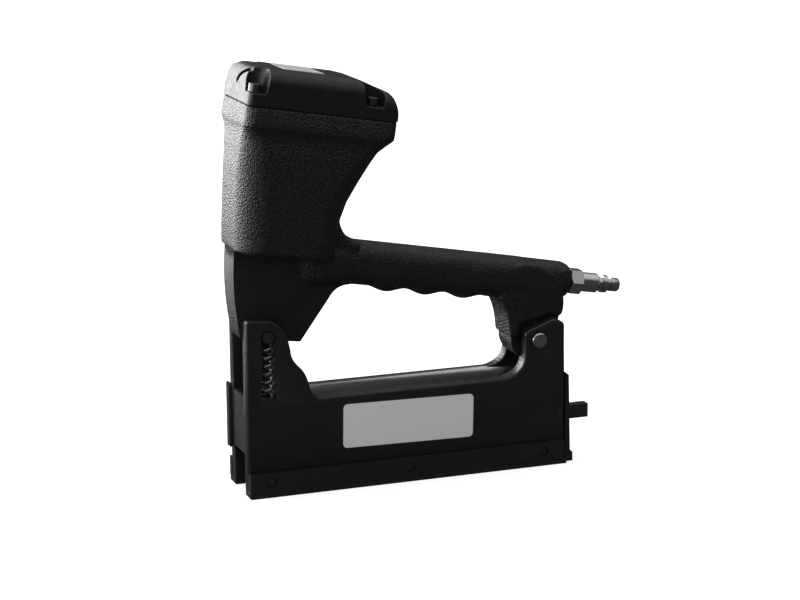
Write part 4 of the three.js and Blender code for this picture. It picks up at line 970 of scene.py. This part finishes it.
def cap_screw(place, node):
    """A cylinder head with a hexagon socket."""
    x, y = cap_places()[place]
    seat = POCKET_FLOOR + CLEARANCE
    top = seat + CAP_SCREW_HEIGHT
    flats = SOCKET_FLATS / 2 / math.cos(math.pi / 6)
    profile = [(CAP_SHANK_RADIUS, CAP_SCREW_FOOT), (CAP_SHANK_RADIUS, seat), (CAP_SCREW_RADIUS, seat)]
    profile += rounded(CAP_SCREW_RADIUS, top, CAP_SCREW_RIM, 1)
    screw = turned(node + "_head", "z", profile, (x, y, 0), LEVEL)
    cut(screw, bar("socket", "z", flats, (top - SOCKET_DEPTH, PAST), (x, y, 0), LEVEL, 6))
    smooth_by_angle(screw)
    return dress(screw, "head", "zinc", "dull_zinc", node)


def spring_lug(side, node):
    """A stud of the nose that runs in a slot and presses its spring."""
    x, z = level_point(LUG_X, LUG_Z)
    face, outer = NOSE_HALF + CLEARANCE, BODY_HALF - LUG_SINK
    profile = [(LUG_STUD_RADIUS, side * LUG_STUD_START), (LUG_STUD_RADIUS, side * face)]
    profile += [(LUG_RADIUS, side * face)] + rounded(LUG_RADIUS, side * outer, LUG_RIM, side)
    lug = turned(node + "_stud", "y", profile, (x, 0, z), LEVEL)
    smooth_by_angle(lug)
    return dress(lug, "head", "oxide_steel", "oxide", node)


def air_plug():
    """Thread, hexagon, body, neck, flange and nose of a quick-connect plug."""
    centre = (PLUG_X, 0, INLET_Z)
    corner = HEXAGON_FLATS / 2 / math.cos(math.pi / 6)
    hexagon = bar("plug_hexagon", "x", corner, (0, HEXAGON_LENGTH), centre, LEVEL, 6)
    low, high = corner - CHAMFER_DROP, corner + CHAMFER_OVER
    chamfers = [
        (low, -CHAMFER_SLACK), (high, CHAMFER_RUN),
        (high, HEXAGON_LENGTH - CHAMFER_RUN), (low, HEXAGON_LENGTH + CHAMFER_SLACK),
    ]
    combine(hexagon, [turned("cone", "x", chamfers, centre, LEVEL, CHAMFER_SIDES)], "INTERSECT")
    body = [(THREAD_RADIUS, -THREAD_LENGTH), (THREAD_RADIUS, 0.3)]
    body += [(PLUG_RADIUS - 0.4, 0.4), (PLUG_RADIUS, HEXAGON_LENGTH - 0.3)]  # inside the hexagon
    body += [(PLUG_RADIUS * r, HEXAGON_LENGTH + PLUG_LENGTH * s) for r, s in PLUG_SHARES]
    body += [(PLUG_BORE, HEXAGON_LENGTH + PLUG_LENGTH), (PLUG_BORE, -THREAD_LENGTH)]
    stem = turned("plug_stem", "x", body, centre, LEVEL, looped=True)
    cut(hexagon, bar("bore", "x", PLUG_BORE + 1, (-PAST, PAST), centre, LEVEL))
    combine(hexagon, [stem], "UNION")
    hexagon.name = "air_plug_body"
    smooth_by_angle(hexagon, 30)
    return dress(hexagon, "head", "zinc", "zinc", "air_plug")


# ---------------------------------------------------------------- pieces
KEPT_NODES = (  # node, material, width of its soft edges
    ("nose_block", "oxide", 0.3), ("nose_plate", "oxide", 0.25), ("rear_end_plate", "black", 0.4),
    ("label_plate", "label", 0), ("pivot_ring", "steel", 0.15), ("feed_rail", "oxide", 0.3),
    ("clip_stick", "steel", 0.2), ("clip_follower", "oxide", 0.3),
    ("rail_latch", "oxide", 0.15), ("trip_valve_spool", "brass", 0),
    ("cylinder_sleeve", "alloy", 0), ("bumper", "rubber", 0), ("piston", "alloy", 0),
    ("piston_ring", "rubber", 0), ("driver_blade", "steel", 0.1), ("cap_gasket", "rubber", 0),
    ("head_valve", "brass", 0), ("cap_label", "sticker", 0),
)

magazine_body()
hinge_pin()
for side, name in ((-1, "left"), (1, "right")):
    return_spring(side, f"return_spring_{name}")
    spring_lug(side, f"spring_lug_{name}")
    keep(f"rail_{name}", "black", 0.3)
    keep(f"pivot_bushing_{name}", "brass", 0)
    for place in range(len(SCREW_X)):
        rail_screw(side, place, f"rail_screw_{name}_{place + 1}")
for coil in INNER_COILS:
    inner_coil(*coil)
head_casting()
head_cap()
for place in range(len(POCKETS)):
    cap_screw(place, f"cap_screw_{place + 1}")
air_plug()
for kept in KEPT_NODES:
    keep(*kept)

# ---------------------------------------------------------------- stage, in metres
FLOOR_REACH, FLOOR_COLOUR = 12, 0.5
PAPER_GRAIN = 300  # millimetres, as in every finish
NEAR_GLOW, FAR_GLOW, GLOW_REACH = 0.62, 1.0, (0.5, 2.5)
BASE_GLOSS, LEFT_GLOSS, TOP_GLOSS = 0.05, 1.0, 0.8
FLOOR_LEFT, LEFT_SPAN, REAR_SPAN, TOP_SPAN = (-0.3, -0.7), (0, -0.4), (-0.3, 0.3), (0.4, 0.8)
SKY_FILL = 1.15


def floor_paper():
    """Pale paper that takes the object's shadow, white to the camera and bright by place to gloss."""
    finish = Finish("floor_paper", Specular_IOR_Level=0, Roughness=1)
    rays = finish.node("ShaderNodeLightPath")
    shade = (FLOOR_COLOUR,) * 3
    paper = finish.spread(finish.noise(PAPER_GRAIN, 1), 0, 1, (0.97, 1))
    finish.colour(finish.math("SUBTRACT", paper, rays.outputs["Is Glossy Ray"]), (0, 0, 0), shade)
    away = finish.node("ShaderNodeVectorMath", {"Vector": finish.place}, operation="LENGTH").outputs["Value"]
    glow = finish.spread(away, *GLOW_REACH, (NEAR_GLOW, FAR_GLOW))
    place = finish.node("ShaderNodeSeparateXYZ", {"Vector": finish.place}).outputs
    left, rear = finish.spread(place["X"], *FLOOR_LEFT), finish.spread(place["Y"], *REAR_SPAN)
    gloss = finish.spread(finish.math("MULTIPLY", left, rear), 0, 1, (BASE_GLOSS, LEFT_GLOSS))
    seen = finish.math("MAXIMUM", rays.outputs["Is Camera Ray"], rays.outputs["Is Transmission Ray"])
    shown = finish.math("MULTIPLY", seen, glow)
    mirrored = finish.math("MULTIPLY", rays.outputs["Is Glossy Ray"], gloss)
    light = finish.math("ADD", shown, mirrored)
    finish.shader.inputs["Emission Color"].default_value = (1, 1, 1, 1)
    finish.tree.links.new(light, finish.shader.inputs["Emission Strength"])
    return finish.material


corners = [(x * FLOOR_REACH, y * FLOOR_REACH, 0) for x, y in ((-1, -1), (1, -1), (1, 1), (-1, 1))]
floor = new_object("floor", corners, [(0, 1, 2, 3)], Matrix())
floor.data.materials.append(floor_paper())


class Sky(Nodes):
    """White to the camera, an even fill for matt surfaces, and bright only behind the object for gloss."""

    def __init__(self):
        world = bpy.data.worlds.new("studio")
        world.use_nodes = True
        scene.world = world
        super().__init__(world.node_tree)
        background = self.tree.nodes["Background"]
        rays = self.node("ShaderNodeLightPath").outputs
        place = self.node("ShaderNodeTexCoord").outputs["Generated"]
        axes = self.node("ShaderNodeSeparateXYZ", {"Vector": place}).outputs
        left, rear = self.spread(axes["X"], *LEFT_SPAN), self.spread(axes["Y"], *REAR_SPAN)
        gloss = self.choose(left, BASE_GLOSS, self.choose(rear, BASE_GLOSS, LEFT_GLOSS))
        gloss = self.choose(self.spread(axes["Z"], *TOP_SPAN), gloss, TOP_GLOSS)
        fill = self.choose(rays["Is Glossy Ray"], SKY_FILL, gloss)
        fill = self.choose(rays["Is Transmission Ray"], fill, 1.0)
        self.tree.links.new(self.choose(rays["Is Camera Ray"], fill, 1.0), background.inputs["Strength"])
        background.inputs["Color"].default_value = (1, 1, 1, 1)

    def choose(self, switch, off, on):
        """One of two values, or a mix of them."""
        return self.node("ShaderNodeMix", {"Factor": switch, "A": off, "B": on}).outputs["Result"]


Sky()


def lamp(name, place, target, size, power):
    """A soft panel of so many watts, turned to its target, that the camera doesn't see."""
    light = bpy.data.lights.new(name, "AREA")
    light.shape = "RECTANGLE"
    light.size, light.size_y = size
    light.energy = power
    holder = bpy.data.objects.new(name, light)
    holder.location = place
    holder.rotation_euler = (Vector(target) - Vector(place)).to_track_quat("-Z", "Y").to_euler()
    holder.visible_camera = False
    scene.collection.objects.link(holder)


lamp("left_panel", (-0.56, 0.76, 0.36), (-0.05, 0, 0.16), (1.1, 0.7), 12.5)
lamp("left_near", (-0.95, -0.42, 0.36), (-0.1, 0, 0.1), (0.35, 0.5), 0.9)
lamp("left_wide", (-1.1, 0.1, 0.45), (-0.05, 0, 0.14), (0.9, 0.8), 4)

# ---------------------------------------------------------------- camera
CAMERA_PLACE = (-353.26, -1244.92, 419.37)  # millimetres in the tool's axes
CAMERA_AZIMUTH, CAMERA_PITCH, CAMERA_ROLL = (math.radians(a) for a in (20, 13.36, 0.36))
CAMERA_LENS, CAMERA_SENSOR = 104.5, 36


def photo_camera():
    """The view of the photograph."""
    camera = bpy.data.objects.new("camera", bpy.data.cameras.new("camera"))
    camera.data.lens = CAMERA_LENS
    camera.data.sensor_width = CAMERA_SENSOR
    camera.data.clip_start = 0.01
    camera.data.clip_end = 100
    turn = Matrix.Rotation(-CAMERA_AZIMUTH, 4, "Z") @ Matrix.Rotation(math.pi / 2 - CAMERA_PITCH, 4, "X")
    place = Matrix.Translation(TOOL @ Vector(CAMERA_PLACE))
    camera.matrix_world = place @ turn @ Matrix.Rotation(-CAMERA_ROLL, 4, "Z")
    scene.collection.objects.link(camera)
    scene.camera = camera


photo_camera()
scene.view_settings.view_transform = "Standard"
